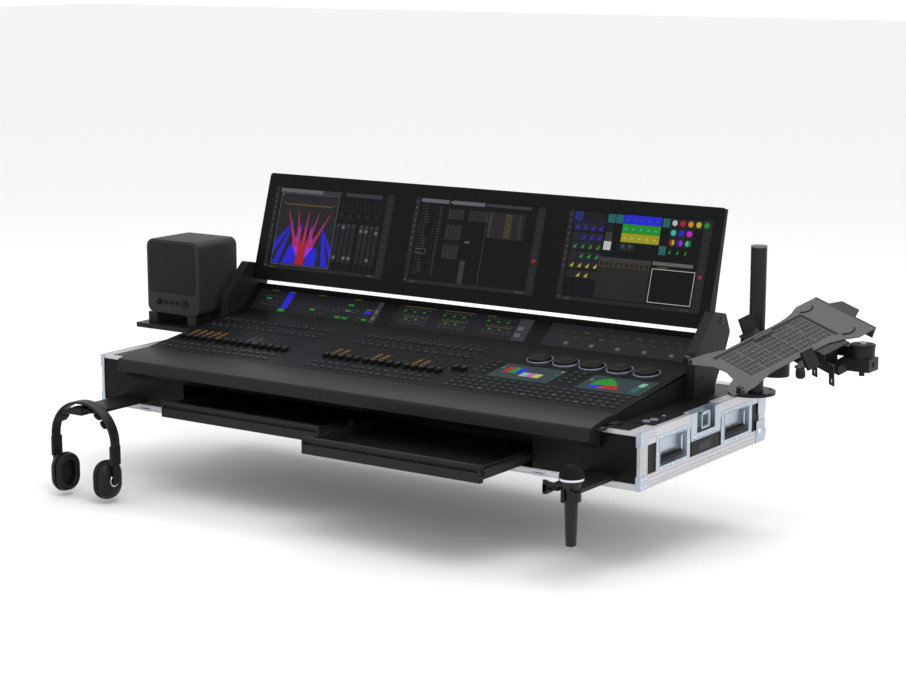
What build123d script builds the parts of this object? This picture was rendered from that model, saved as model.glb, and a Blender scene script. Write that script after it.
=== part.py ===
from build123d import *
import os
from math import atan2, cos, degrees, hypot, radians, sin

# Lighting control desk on its flight-case base, with its accessories, in millimetres.
# X runs to the operator's right, Y away from the operator, Z up.
# The origin is the middle of the case's underside.

# ---------------------------------------------------------------- driving dimensions
CASE_W, CASE_D, CASE_H = 1480.0, 558.0, 121.4
SKIN = 2.0                      # aluminium edge section
FLANGE = 30.0                   # width of the edge section on each face
BOARD = 9.0                     # plywood wall
DESK_X = 647.0                  # half width of the control surface
SURFACE_TILT = 7.1              # slope of the control surface, degrees
SURFACE_Z = 166.0               # its height at y = 0
SURFACE_T = 3.0
KEY_PITCH = 22.0
FIT = 0.05                      # radial clearance of a running fit
SLIDE_GAP = 0.4                 # clearance round a sliding rail

CASE_X, CASE_Y = CASE_W / 2, CASE_D / 2

# drawers: half gap at the middle, outer edge, height range, front positions at rest
DRAWER_IN, DRAWER_OUT, DRAWER_Z0, DRAWER_Z1 = 15.6, 474.3, 17.0, 53.0
DRAWER_DEPTH = 350.0
DRAWER_FRONTS = {"left": -362.0, "right": -461.0}
CHANNEL_Z, CHANNEL_SLOT_Z = (26.0, 44.0), (28.5, 41.5)
CHANNEL_SLOT_X = (12.0, 478.0)  # bottoms of the inner and outer channel slots
RUNNER_END_Y = 90.0

# side fittings, as y ranges on each side of the case
DISH_Y, DISH_Z = (70.0, 214.0), (27.0, 103.0)
LATCH_Y, LATCH_Z0 = 66.0, 62.0

# fader banks: first track of each bank, tracks per bank, pitch
BANKS = {"left": (-621.6, -508.0, -394.6), "centre": (-183.0, -68.5, 45.0)}
BANK_TRACKS, BANK_PITCH = 5, 21.8
TRACK_Y = (-126.0, -52.0)
CAP_Y = -118.0
MASTER_X = (158.6, 179.0)
MASTER_TRACK_Y = (-98.0, -12.0)
MASTER_CAP_Y = -88.0
ENCODER_X = (300.0, 368.0, 436.0, 505.0, 573.0)
ENCODER_Y = 40.0
TOUCH_X = ((246.0, 405.0), (473.0, 634.0))
TOUCH_Y = (-104.0, -8.0)
PALM_SEAMS = (-43.0, 462.0)

# display strip above the control surface, and the monitor wing
STRIP_Y, STRIP_Z, STRIP_TOP = 135.5, 183.0, (203.0, 240.0)
DISPLAY_PITCH = 434.0
STRIP_DISPLAY = (396.0, 74.0)
WING_DISPLAY = (370.9, 208.9)
WING_X = 645.0
WING_BASE = (184.0, 286.0)      # y, z of the displays' lower edge
WING_TILT = 17.1                # backwards, degrees
WING_LOW, WING_HIGH = -32.0, 240.0
WING_PIVOT = (196.9, 273.6)

# accessories
SPEAKER = ((-864.0, -690.0), (21.0, 170.0), (170.6, 358.0))
KNOB_X, KNOB_Z = -823.0, 200.0
PHONES_X, PHONES_Y = -641.0, -442.0
BAND_TOP, CUP_Z = 49.0, -129.0
MIC_X, MIC_Y = 677.0, -440.0
POLE_X, POLE_Y, POLE_R, POLE_TOP = 762.0, 184.0, 17.5, 450.0
FOOT = (747.0, 197.0)           # centre of the pole's round foot
HUB = (812.0, 178.0)
ELBOW = (1022.0, 152.0)
TRAY_ORIGIN = (872.5, 52.7, 261.7)
TRAY_LONG = (0.374, 0.883, 0.285)
TRAY_NORMAL = (0.113, -0.348, 0.931)
HEAD = (86.0, -58.0, -46.0)     # middle of the tray's tilt axis, in the tray's own frame
TRAY_OUTLINE = [(196, 87), (196, -93), (146, -94), (118, -78), (86, -67), (-27, -65), (-76, -66),
                (-135, -82), (-165, -84), (-188, -75), (-184, -50), (-147, -30), (-139, 0), (-145, 35),
                (-168, 68), (-175, 89), (-158, 90), (-120, 81), (-82, 65), (15, 65), (62, 66), (90, 69),
                (112, 75), (138, 87)]
FINGER_X = (-6.0, 25.0)         # the clamp fingers along the tray, and their outlines across it
FINGER_LEFT = [(40, -8.5), (91, -8.5), (89, -13), (95, -14), (111, 21), (105, 24), (92.5, -4.5), (40, -4.5)]
FINGER_RIGHT = [(-40, -4.5), (-90, -4.5), (-76, 20), (-82, 23), (-104, -10), (-98, -13.5), (-94.5, -8.5),
                (-40, -8.5)]


# ---------------------------------------------------------------- helpers
def block(x, y, z):
    """A box from its three (low, high) ranges."""
    size = [high - low for low, high in (x, y, z)]
    middle = [(high + low) / 2 for low, high in (x, y, z)]
    return Pos(*middle) * Box(*size)


def prism(points, x0, x1):
    """A (y, z) outline carried along X."""
    plane = Plane(origin=(x0, 0, 0), x_dir=(0, 1, 0), z_dir=(1, 0, 0))
    return extrude(plane * Polygon(*points, align=None), amount=x1 - x0, dir=(1, 0, 0))


def rod(centre, radius, z0, z1):
    """An upright round bar."""
    return Pos(centre[0], centre[1], (z0 + z1) / 2) * Cylinder(radius, z1 - z0)


def rod_x(y, z, radius, x0, x1):
    """A round bar along X."""
    return Pos((x0 + x1) / 2, y, z) * Rot(0, 90, 0) * Cylinder(radius, abs(x1 - x0))


def rod_y(x, z, radius, y0, y1):
    """A round bar along Y."""
    return Pos(x, (y0 + y1) / 2, z) * Rot(90, 0, 0) * Cylinder(radius, abs(y1 - y0))


def mirrored(shape):
    """The same piece on the other side of the desk."""
    return mirror(shape, about=Plane.YZ)


def group(shapes):
    """Several solids kept apart in one node."""
    return Compound(children=[solid for shape in shapes for solid in shape.solids()])


def write(name, shape):
    export_step(shape, f"parts/{name}.step")


# local frames: x across the desk, y up the slope, z out of the face
SURFACE = Plane(origin=(0, 0, SURFACE_Z), x_dir=(1, 0, 0),
                z_dir=(0, -sin(radians(SURFACE_TILT)), cos(radians(SURFACE_TILT))))
STRIP_ANGLE = atan2(STRIP_TOP[1] - STRIP_Z, STRIP_TOP[0] - STRIP_Y)
STRIP_LENGTH = hypot(STRIP_TOP[1] - STRIP_Z, STRIP_TOP[0] - STRIP_Y)
STRIP = Plane(origin=(0, STRIP_Y, STRIP_Z), x_dir=(1, 0, 0),
              z_dir=(0, -sin(STRIP_ANGLE), cos(STRIP_ANGLE)))
WING = Plane(origin=(0, *WING_BASE), x_dir=(1, 0, 0),
             z_dir=(0, -cos(radians(WING_TILT)), sin(radians(WING_TILT))))
TRAY = Plane(origin=TRAY_ORIGIN, x_dir=TRAY_LONG, z_dir=TRAY_NORMAL)


def surface_z(y):
    """Height of the control surface at a given y."""
    return SURFACE_Z + y * sin(radians(SURFACE_TILT)) / cos(radians(SURFACE_TILT))


def on_surface(x, y, size_x, size_y, low, high):
    """A box set square on the control surface, between two heights above it."""
    return SURFACE * Pos(x, y, (low + high) / 2) * Box(size_x, size_y, high - low)


# ---------------------------------------------------------------- flight-case base
def edge_extrusions():
    """Aluminium edge sections round the case, one frame, 30 mm wide on the sides."""
    shell = block((-CASE_X, CASE_X), (-CASE_Y, CASE_Y), (0, CASE_H))
    shell -= block((-CASE_X + SKIN, CASE_X - SKIN), (-CASE_Y + SKIN, CASE_Y - SKIN), (SKIN, CASE_H - SKIN))
    inner_x, inner_y = CASE_X - FLANGE, CASE_Y - FLANGE
    lip = 8.0
    shell -= block((-CASE_X, CASE_X), (-inner_y, inner_y), (FLANGE, CASE_H - FLANGE))
    shell -= block((-inner_x, inner_x), (-CASE_Y + lip, inner_y), (-1, CASE_H + 1))
    shell -= block((-inner_x, inner_x), (0, CASE_Y + 1), (FLANGE, CASE_H - FLANGE))
    shell -= block((-CASE_X + lip, CASE_X - lip), (-CASE_Y - 1, 0), (14, CASE_H - lip))
    for side in (-1, 1):
        outer = sorted((side * (CASE_X - FLANGE - 1), side * (CASE_X + 1)))
        shell -= block(outer, (-LATCH_Y, LATCH_Y), (LATCH_Z0, CASE_H + 1))
        plate = sorted((side * (CASE_X - 4), side * (CASE_X + 1)))
        for y0, y1 in (DISH_Y, (-DISH_Y[1], -DISH_Y[0])):
            shell -= block(plate, (y0, y1), DISH_Z)
    return shell


def dish_pocket(y0, y1, wall):
    """Outside of a handle pocket, cut through the side board."""
    return block((CASE_X - 16 - wall, CASE_X + 1), (y0 + 15 - wall, y1 - 15 + wall), (37 - wall, 93 + wall))


def side_openings():
    """All holes of one side board."""
    holes = [dish_pocket(y0, y1, 1.5) for y0, y1 in (DISH_Y, (-DISH_Y[1], -DISH_Y[0]))]
    holes.append(block((CASE_X - 24, CASE_X + 1), (-LATCH_Y, LATCH_Y), (LATCH_Z0, CASE_H + 1)))
    return holes


def case_shell(extrusion):
    """Base, side and rear boards, glued and screwed to the edge sections."""
    x, y = CASE_X - SKIN, CASE_Y - SKIN
    base = block((-x, x), (-y, y), (SKIN, SKIN + BOARD))
    rear = block((-x, x), (y - BOARD, y), (SKIN + BOARD, CASE_H - 11))
    side = block((x - BOARD, x), (-y + BOARD, y - BOARD), (SKIN + BOARD, CASE_H - 11))
    for hole in side_openings():
        side -= hole
    boards = [base, rear, side, mirrored(side)]
    return group([board - extrusion for board in boards])


def front_fascia(extrusion):
    """Black front board with the drawer opening and the two bracket slots."""
    y = -CASE_Y + SKIN
    board = block((-CASE_X + SKIN, CASE_X - SKIN), (y, y + BOARD), (SKIN + BOARD, CASE_H - 11))
    board -= block((-482, 482), (y - 1, y + BOARD + 1), (14, 90))
    board -= block((-681, -601), (y - 1, y + BOARD + 1), (19.9, 28.1))
    board -= block((612.9, 687.1), (y - 1, y + BOARD + 1), (19.9, 28.1))
    return board - extrusion


def deck_board(extrusion):
    """Top board that carries the console."""
    board = block((-CASE_X + SKIN, CASE_X - SKIN), (-CASE_Y + SKIN, CASE_Y - SKIN), (CASE_H - 11, CASE_H))
    for side in (-1, 1):
        board -= block(sorted((side * (CASE_X - 24), side * CASE_X)), (-LATCH_Y, LATCH_Y), (0, CASE_H + 1))
    return board - extrusion


def corner_fittings():
    """Zinc corner plates at the front, ball corners at the rear."""
    plates = []
    thick = 1.2
    for z0, z1 in ((0.0, 30.0), (91.4, CASE_H)):
        front = block((CASE_X, CASE_X + thick), (-CASE_Y - thick, -CASE_Y + 30), (z0, z1))
        front += block((CASE_X - 10, CASE_X), (-CASE_Y - thick, -CASE_Y), (z0, z1))
        plates += [front]
    rear = block((CASE_X, CASE_X + thick), (CASE_Y - 36, CASE_Y + thick), (66, CASE_H))
    rear += block((CASE_X - 36, CASE_X), (CASE_Y, CASE_Y + thick), (66, CASE_H))
    ball = Pos(CASE_X - 16, CASE_Y - 16, 20) * Sphere(26)
    ball += block((CASE_X, CASE_X + thick), (CASE_Y - 42, CASE_Y + thick), (0, 50))
    ball += block((CASE_X - 42, CASE_X), (CASE_Y, CASE_Y + thick), (0, 50))
    ball -= block((0, CASE_X), (0, CASE_Y), (-20, 200))
    ball -= block((0, CASE_X + 60), (0, CASE_Y + 60), (-60, 0))
    plates += [rear, ball]
    return group(plates + [mirrored(plate) for plate in plates])


def handle_dish(y0, y1):
    """Pressed zinc dish of one sprung handle, with its pocket."""
    plate = block((CASE_X - 1.5, CASE_X + 0.5), (y0, y1), DISH_Z)
    dish = plate + dish_pocket(y0, y1, 1.5) - block((CASE_X + 0.5, CASE_X + 5), (y0, y1), (0, 200))
    dish -= dish_pocket(y0, y1, 0)
    middle = (y0 + y1) / 2
    dish -= rod_y(CASE_X - 8, 82, 2.5 + FIT, middle - 60, middle + 60)
    return dish


def case_handle(y0, y1):
    """Sprung bail with its black grip, lying in the dish."""
    middle = (y0 + y1) / 2
    bail = rod_y(CASE_X - 8, 48, 6.5, middle - 47, middle + 47)
    for end in (-1, 1):
        arm_y = middle + end * 50
        bail += block((CASE_X - 11, CASE_X - 5), (arm_y - 3, arm_y + 3), (42, 82))
        bail += rod_y(CASE_X - 8, 82, 3, arm_y - 3, arm_y + 3)
        bail += rod_y(CASE_X - 8, 82, 2.5, middle + end * 47, middle + end * 58)
    return bail


def latch_dish():
    """Dish of the lid catch, with its tilted square keeper."""
    inner = CASE_X - 22
    plate = block((CASE_X - 1.5, CASE_X + 0.5), (-LATCH_Y, LATCH_Y), (LATCH_Z0, CASE_H))
    body = plate + block((inner, CASE_X), (-LATCH_Y + 0.5, LATCH_Y - 0.5), (LATCH_Z0 + 0.5, CASE_H))
    body -= block((inner + 1.5, CASE_X + 1), (-40, 40), (LATCH_Z0 + 14, CASE_H + 1))
    body -= block((inner + 1.5, CASE_X - 1.5), (-LATCH_Y + 2, LATCH_Y - 2), (LATCH_Z0 + 2, CASE_H + 1))
    keeper = block((inner + 1.5, CASE_X - 2), (-17, 17), (81, 115))
    keeper -= block((inner + 4, CASE_X), (-12, 12), (86, 110))
    return body + keeper


def case_rivets():
    """Domed rivets of the dishes, catches and front corner plates."""
    places = []
    for middle in (142, -142):
        for dy in (-50, 0, 50):
            places += [(middle + dy, 32), (middle + dy, 98)]
        places += [(middle - 66, 65), (middle + 66, 65)]
    places += [(dy, LATCH_Z0 + 7) for dy in (-50, -18, 18, 50)]
    rivets = [rod_x(y, z, 2.5, CASE_X + 0.5, CASE_X + 1.7) for y, z in places]
    corner = [(-CASE_Y + a, b) for a in (7, 23) for b in (7, 23)]
    rivets += [rod_x(y, z, 2.5, CASE_X + 1.2, CASE_X + 2.4) for y, z in corner]
    return group(rivets + [mirrored(rivet) for rivet in rivets])


def drawer_runners():
    """Middle wall between the drawers and the fixed channels of the telescopic slides."""
    y_range = (-CASE_Y + SKIN + BOARD, RUNNER_END_Y)
    floor = SKIN + BOARD
    slot_in, slot_out = CHANNEL_SLOT_X
    parts = [block((-8, 8), y_range, (floor, 54))]
    for side in (-1, 1):
        wall = block(sorted((side * 482, side * 494)), y_range, (floor, 100))
        outer = block(sorted((side * 474.7, side * 482)), y_range, CHANNEL_Z)
        outer -= block(sorted((side * 474, side * slot_out)), y_range, CHANNEL_SLOT_Z)
        inner = block(sorted((side * 8, side * 15.2)), y_range, CHANNEL_Z)
        inner -= block(sorted((side * slot_in, side * 16)), y_range, CHANNEL_SLOT_Z)
        parts += [wall, outer, inner]
    return group(parts)


def drawer(side, front_y):
    """One pull-out tray with its grooved front and the two rails that run in the channels."""
    a, b = sorted((side * DRAWER_IN, side * DRAWER_OUT))
    front = block((a, b), (front_y, front_y + 12), (DRAWER_Z0, DRAWER_Z1))
    front -= block((a - 1, b + 1), (front_y - 1, front_y + 6), (38, 46))
    y0, y1 = front_y + 12, front_y + DRAWER_DEPTH
    tray = block((a + 7, b - 7), (y0, y1), (DRAWER_Z0 + 3, 48))
    tray -= block((a + 9, b - 9), (y0 - 1, y1 - 2), (DRAWER_Z0 + 5, 60))
    slots = sorted(side * (slot + end * SLIDE_GAP) for slot, end in zip(CHANNEL_SLOT_X, (1, -1)))
    rail_z = (CHANNEL_SLOT_Z[0] + SLIDE_GAP, CHANNEL_SLOT_Z[1] - SLIDE_GAP)
    rails = [block(x, (y0, y1), rail_z) for x in ((slots[0], a + 7), (b - 7, slots[1]))]
    return group([front + tray] + rails)


# ---------------------------------------------------------------- console
def console_profile(inset):
    """Side outline of the console body, shrunk by a sheet thickness."""
    return [(-215 + inset, CASE_H + inset), (-215 + inset, surface_z(-215) - SURFACE_T - inset),
            (STRIP_Y - 3, STRIP_Z - 8.2 - inset), (STRIP_TOP[0] - 5 - inset, STRIP_TOP[1] - 10 - inset),
            (171 - inset, 133), (173 - inset, CASE_H + inset)]


def console_chassis():
    """Steel tray under the control surface: floor, front edge and end plates."""
    body = prism(console_profile(0), -DESK_X, DESK_X)
    body -= prism(console_profile(2.5), -DESK_X + 3, DESK_X - 3)
    keep = block((-700, 700), (-300, 160), (0, CASE_H + 2.5)) + block((-700, 700), (-300, -212.5), (0, 300))
    ends = block((-DESK_X, -DESK_X + 3), (-300, 300), (0, 300))
    ends += block((DESK_X - 3, DESK_X), (-300, 300), (0, 300))
    return body & (keep + ends)


def rear_housing():
    """Sheet-steel back of the console, leaning out below the display strip."""
    top, low = (STRIP_TOP[0] - 5, STRIP_TOP[1] - 10), (171, 133)
    outline = [(173, CASE_H), low, top, (top[0] - 2.6, top[1] - 2.6), (low[0] - 2.5, low[1] + 0.5),
               (170.5, CASE_H)]
    return prism(outline, -DESK_X + 3, DESK_X - 3)


def surface_profile():
    """Outline of the folded top sheet: control surface, then the strip to the displays."""
    crease = (80, surface_z(80))
    end = (STRIP_Y - 2.5, STRIP_Z - 0.5)
    front = (-214.6, surface_z(-214.6))
    under = [(y, z - SURFACE_T) for y, z in (end, crease, front)]
    return [front, crease, end, *under]


def fader_tracks():
    """Every fader slot as x, low y, high y."""
    tracks = [(first + i * BANK_PITCH, *TRACK_Y) for bank in BANKS.values() for first in bank
              for i in range(BANK_TRACKS)]
    return tracks + [(x, *MASTER_TRACK_Y) for x in MASTER_X]


def playback_key_places():
    """Two rows of keys above and two below each fader bank."""
    columns = [first + i * BANK_PITCH for bank in BANKS.values() for first in bank
               for i in range(BANK_TRACKS)]
    return [(x, y) for y in (47.0, -5.0, -162.0, -190.0) for x in columns]


def command_key_places():
    """Command keys round the two touch screens."""
    places = [(202.0 + i * KEY_PITCH, y) for i in range(20) for y in (-124.0, -146.0, -168.0, -190.0)]
    places += [(x, -14.0 - j * KEY_PITCH) for x in (206.0, 228.0, 428.0, 450.0) for j in range(4)]
    return places


def surface_panel():
    """Top sheet, slotted for faders and pierced for knobs, keys and touch screens."""
    sheet = prism(surface_profile(), -DESK_X, DESK_X)
    cuts = [on_surface(x, (y0 + y1) / 2, 3, y1 - y0, -6, 6) for x, y0, y1 in fader_tracks()]
    cuts += [on_surface(x, y, 14.8, 10.8, -6, 6) for x, y in playback_key_places() + command_key_places()]
    cuts += [on_surface((x0 + x1) / 2, sum(TOUCH_Y) / 2, x1 - x0, TOUCH_Y[1] - TOUCH_Y[0], -6, 6)
             for x0, x1 in TOUCH_X]
    cuts += [SURFACE * Pos(x, ENCODER_Y, 0) * Cylinder(3 + FIT, 20) for x in ENCODER_X]
    sheet -= Compound(children=cuts)
    for x in ENCODER_X:
        collar = Cylinder(31, 3) - Cylinder(27, 4)
        sheet += SURFACE * Pos(x, ENCODER_Y, 1.5) * collar
    return sheet


def keys(places):
    """Square-shouldered keycaps standing 3 mm proud of the sheet."""
    return group([on_surface(x, y, 14, 10, -4, 3) for x, y in places])


def fader_cap(x, y):
    """Cap with a finger hollow, on the stem that runs in its slot."""
    cap = SURFACE * Pos(x, y, 5) * Box(11, 20, 9)
    cap -= SURFACE * Pos(x, y, 13.5) * Rot(0, 90, 0) * Cylinder(7, 12)
    return cap + on_surface(x, y, 1.6, 6, -10, 1)


def encoder_knob(x):
    """Wide flat dial with a low crown, and the shaft of one encoder."""
    knob = Pos(0, 0, 4.75) * Cylinder(25, 8.5)
    knob += Pos(0, 0, 9.7) * Cylinder(14, 1.4)
    knob += Pos(0, 0, -6) * Cylinder(3, 14)
    return SURFACE * Pos(x, ENCODER_Y, 0) * knob


def touch_screens():
    """The two small screens, flush with the surface."""
    return group([on_surface((x0 + x1) / 2, sum(TOUCH_Y) / 2, x1 - x0, TOUCH_Y[1] - TOUCH_Y[0], -3, 0.4)
                  for x0, x1 in TOUCH_X])


def palm_rests():
    """Three convex palm-rest sections with a nose that hangs in front of the fascia."""
    section = Plane(origin=(-DESK_X, 0, 0), x_dir=(0, 1, 0), z_dir=(1, 0, 0))
    nose_y, front_y = -322.0, -CASE_Y - 0.6
    crest = (-215.4, surface_z(-215))
    outline = [ThreePointArc(crest, (-275, 135.5), (-312, 128)),
               ThreePointArc((-312, 128), (-319.5, 125), (nose_y, 118)),
               Polyline((nose_y, 118), (nose_y, 99), (-283, 79), (front_y, 79), (front_y, CASE_H),
                        (-215.4, CASE_H), crest)]
    face = section * make_face(Curve() + outline)
    seams = (-DESK_X, PALM_SEAMS[0], PALM_SEAMS[1], DESK_X)
    whole = extrude(face, amount=2 * DESK_X, dir=(1, 0, 0))
    pieces = []
    for x0, x1 in zip(seams, seams[1:]):
        pieces.append(whole & block((x0 + 0.2, x1 - 0.2), (-400, -200), (0, 200)))
    return group(pieces)


def side_cheeks():
    """End castings that carry the wing, with their pivot pins."""
    outline = [(77, CASE_H), (77, 219), (163, 299), (217, 288), (238, 245), (219, 207), (171, 133),
               (173, CASE_H)]
    cheek = prism(outline, DESK_X + 0.3, 670)
    along = cheek.edges().filter_by(Axis.X)
    rounded = [edge for edge in along if edge.center().Z > 200]
    cheek = fillet(rounded, radius=9)
    pin = rod_x(*WING_PIVOT, 8, 632, DESK_X + 2)
    right = cheek + pin
    return group([right, mirrored(right)])


def strip_panel():
    """Sloping panel round the three long displays."""
    panel = STRIP * Pos(0, STRIP_LENGTH / 2 - 1.5, -2) * Box(2 * DESK_X, STRIP_LENGTH + 3, 4)
    for i in (-1, 0, 1):
        panel -= STRIP * Pos(i * DISPLAY_PITCH, STRIP_DISPLAY[1] / 2, -2) * Box(*STRIP_DISPLAY, 10)
    return panel


def strip_displays():
    """Long displays, flush in their windows."""
    return group([STRIP * Pos(i * DISPLAY_PITCH, STRIP_DISPLAY[1] / 2, -2) * Box(*STRIP_DISPLAY, 4)
                  for i in (-1, 0, 1)])


def circuit_board():
    """Main board with its heat sinks, inside the console."""
    z0 = CASE_H + 4.5
    board = block((-600, 600), (-180, 70), (z0, z0 + 1.6))
    for x in (-450, -250, 250, 450):
        board += block((x - 20, x + 20), (75 - 60, 75 - 20), (z0 + 1.6, z0 + 18))
    return board


def power_supply():
    """Enclosed supply at the back of the console."""
    return block((-560, -380), (95, 155), (CASE_H + 2.5, CASE_H + 42))


# ---------------------------------------------------------------- monitor wing
def wing_section(points, x0, x1):
    """An outline in (height along the face, depth behind it), carried along X."""
    plane = Plane(origin=WING.origin + Vector(x0, 0, 0), x_dir=WING.y_dir, z_dir=(1, 0, 0))
    return extrude(plane * Polygon(*points, align=None), amount=x1 - x0, dir=(1, 0, 0))


def pivot_bores():
    """Blind bores of the wing's two pivots."""
    right = rod_x(*WING_PIVOT, 8 + FIT, 631, WING_X + 1)
    return right + mirrored(right)


def wing_frame():
    """Front frame of the wing with its three display windows."""
    depth = 8.0
    middle = (WING_LOW + WING_HIGH) / 2
    frame = WING * Pos(0, middle, -depth / 2) * Box(2 * WING_X, WING_HIGH - WING_LOW, depth)
    for i in (-1, 0, 1):
        frame -= WING * Pos(i * DISPLAY_PITCH, WING_DISPLAY[1] / 2, -depth / 2) * Box(*WING_DISPLAY, 20)
    corners = frame.edges().filter_by(Axis((0, 0, 0), WING.z_dir))
    frame = fillet([edge for edge in corners if abs(edge.center().X) > 640], 8)
    return frame - pivot_bores()


def wing_displays():
    """Wide displays, set half a millimetre back in the frame."""
    return group([WING * Pos(i * DISPLAY_PITCH, WING_DISPLAY[1] / 2, -3.5) * Box(*WING_DISPLAY, 6)
                  for i in (-1, 0, 1)])


def wing_rear_cover():
    """Hollow back cover, deep at the hinge and slim at the top."""
    low, high = WING_LOW + 1, WING_HIGH - 1
    outer = [(low, -8), (high, -8), (high, -12), (low + 12, -31), (low, -20)]
    inner = [(low + 2.5, -8), (high - 2.5, -8), (high - 2.5, -9.5), (low + 13, -28.3), (low + 2.5, -18.8)]
    cover = wing_section(outer, -WING_X + 1, WING_X - 1)
    cover -= wing_section(inner, -WING_X + 22, WING_X - 22)
    return cover - pivot_bores()


# ---------------------------------------------------------------- loudspeaker
def speaker_cabinet():
    (x0, x1), (y0, y1), (z0, z1) = SPEAKER
    box = block((x0, x1), (y0 + 7, y1), (z0, z1))
    box = fillet(box.edges().filter_by(Axis.Y), 16)
    return box - block((x0 + 10, x1 - 10), (y0, y1 - 10), (z0 + 10, z1 - 10))


def speaker_baffle():
    """Front plate with the driver behind it."""
    (x0, x1), (y0, y1), (z0, z1) = SPEAKER
    plate = fillet(block((x0 + 1, x1 - 1), (y0, y0 + 7), (z0 + 1, z1 - 1)).edges().filter_by(Axis.Y), 15)
    middle = (x0 + x1) / 2
    driver = Pos(middle, y0 + 32, 285) * Rot(90, 0, 0) * Cylinder(58, 50)
    plate += driver
    return plate - rod_y(KNOB_X, KNOB_Z, 2 + FIT, y0 - 1, y0 + 10)


def speaker_knob():
    y0 = SPEAKER[1][0]
    knob = rod_y(KNOB_X, KNOB_Z, 7, y0 - 9, y0 - 0.4)
    return knob + rod_y(KNOB_X, KNOB_Z, 2, y0 - 1, y0 + 6)


def speaker_shelf():
    """Shelf with its deck bracket and the two isolation rails."""
    shelf = block((-890, -680), (6, 190), (130.6, 142.6))
    shelf += block((-735, -690), (120, 262), (CASE_H, 130.6))
    rails = []
    for x in (-850, -720):
        rails.append(block((x - 14, x + 14), (24, 168), (142.6, 170.6)))
    return group([shelf] + rails)


# ---------------------------------------------------------------- pole, arm and laptop tray
def pole_base():
    """Round foot of the pole, overhanging the end of the deck."""
    foot = rod(FOOT, 52, CASE_H, CASE_H + 7)
    return foot - rod((POLE_X, POLE_Y), POLE_R, CASE_H + 1, CASE_H + 20)


def pole():
    """Steel tube, closed at the top."""
    bar = rod((POLE_X, POLE_Y), POLE_R, CASE_H + 1, POLE_TOP)
    return bar - rod((POLE_X, POLE_Y), POLE_R - 2.5, CASE_H, POLE_TOP - 3)


def pole_clamp():
    """Split clamp on the pole with the seat and pin of the arm's hub."""
    ring = rod((POLE_X, POLE_Y), 28, 172, 190)
    clamp = ring + rod(HUB, 30, 172, 190) + block((POLE_X, HUB[0]), (160, 200), (172, 190))
    clamp -= rod((POLE_X, POLE_Y), POLE_R, 170, 195)
    return clamp + rod(HUB, 7, 190, 236)


def arm_lower():
    """Swinging link from the hub to the elbow."""
    hub = rod(HUB, 30, 190.5, 262)
    length = hypot(ELBOW[0] - HUB[0], ELBOW[1] - HUB[1])
    angle = degrees(atan2(ELBOW[1] - HUB[1], ELBOW[0] - HUB[0]))
    bar = Pos(HUB[0], HUB[1], 251) * Rot(0, 0, angle) * Pos(length / 2, 0, 0) * Box(length, 34, 22)
    link = hub + bar + rod(ELBOW, 26, 240, 262)
    link -= rod(HUB, 7 + FIT, 180, 237)
    return link - rod(ELBOW, 6 + FIT, 230, 270)


def tilt_bar(radius, y0, y1):
    """A round bar on the tray's tilt axis."""
    return TRAY * Pos(HEAD[0], (y0 + y1) / 2, HEAD[2]) * Rot(90, 0, 0) * Cylinder(radius, y1 - y0)


def tray_block(x, y, z):
    """A box square to the tray, from its three (low, high) ranges."""
    return TRAY * block(x, y, z)


def arm_upper():
    """Clevis on the elbow pin, with the lug and pin that carry the tilt head."""
    body = block((ELBOW[0] - 37, ELBOW[0] + 26), (ELBOW[1] - 24, ELBOW[1] + 24), (212, 239.4))
    body += rod(ELBOW, 6, 200, 272) + rod(ELBOW, 27, 262.6, 267)
    x, z = HEAD[0], HEAD[2]
    body += tray_block((x - 12, x + 26), (-106, -84), (z - 12, z + 10))
    return body + tilt_bar(5, -90, -34)


def tray_head():
    """Tilt barrel, the pad under the tray and the hanging slotted bracket."""
    x, y, z = HEAD
    head = tilt_bar(13, -83.5, -34) + tray_block((x - 10, x + 10), (-81, -36), (z, -3))
    head += tray_block((48, 120), (-92, -26), (-5, -2.2))
    head += tray_block((48, 51), (-118, -54), (-42, -2.2)) - tray_block((40, 60), (-130, -92), (-16, 0))
    for ear_y in (-61, -111):
        ear = tray_block((48, 51), (ear_y - 7, ear_y + 7), (-68, -42))
        head += ear - tray_block((40, 60), (ear_y - 2, ear_y + 2), (-63, -52))
    return head - tilt_bar(5 + FIT, -100, -20)


def laptop_tray():
    """Sheet-steel laptop tray with its vent grille, rear lip and front stops."""
    outline = TRAY * Polygon(*TRAY_OUTLINE, align=None)
    sheet = extrude(outline, amount=2, dir=-TRAY.z_dir)
    slots = []
    for i in range(20):
        for j in range(7):
            slots.append(TRAY * Pos(-108 + i * 11.4, -42 + j * 14, 0) * Box(9, 10, 8))
    sheet -= Compound(children=slots)
    lip = Plane(origin=TRAY.from_local_coords((196, 0, 0)), x_dir=TRAY.y_dir,
                z_dir=TRAY.x_dir * 0.88 - TRAY.z_dir * 0.48)
    sheet += lip * Pos(-3, -11, -1) * Box(180, 24, 2)
    for y in (82, -80):
        sheet += TRAY * Pos(-172, y, 6) * Box(8, 14, 14)
    return sheet


def tray_clamp(side):
    """Side finger that slides out from under the tray, with its knurled knob."""
    across = Plane(origin=TRAY.from_local_coords((FINGER_X[0], 0, 0)), x_dir=TRAY.y_dir, z_dir=TRAY.x_dir)
    outline = FINGER_LEFT if side > 0 else FINGER_RIGHT
    finger = extrude(across * Polygon(*outline, align=None), amount=FINGER_X[1] - FINGER_X[0], dir=TRAY.x_dir)
    knob = TRAY * Pos(-12, side * 84, -20) * Cylinder(9, 23)
    return finger + tray_block((-21, 4), sorted((side * 76, side * 92)), (-8.5, -4.5)) + knob


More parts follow.
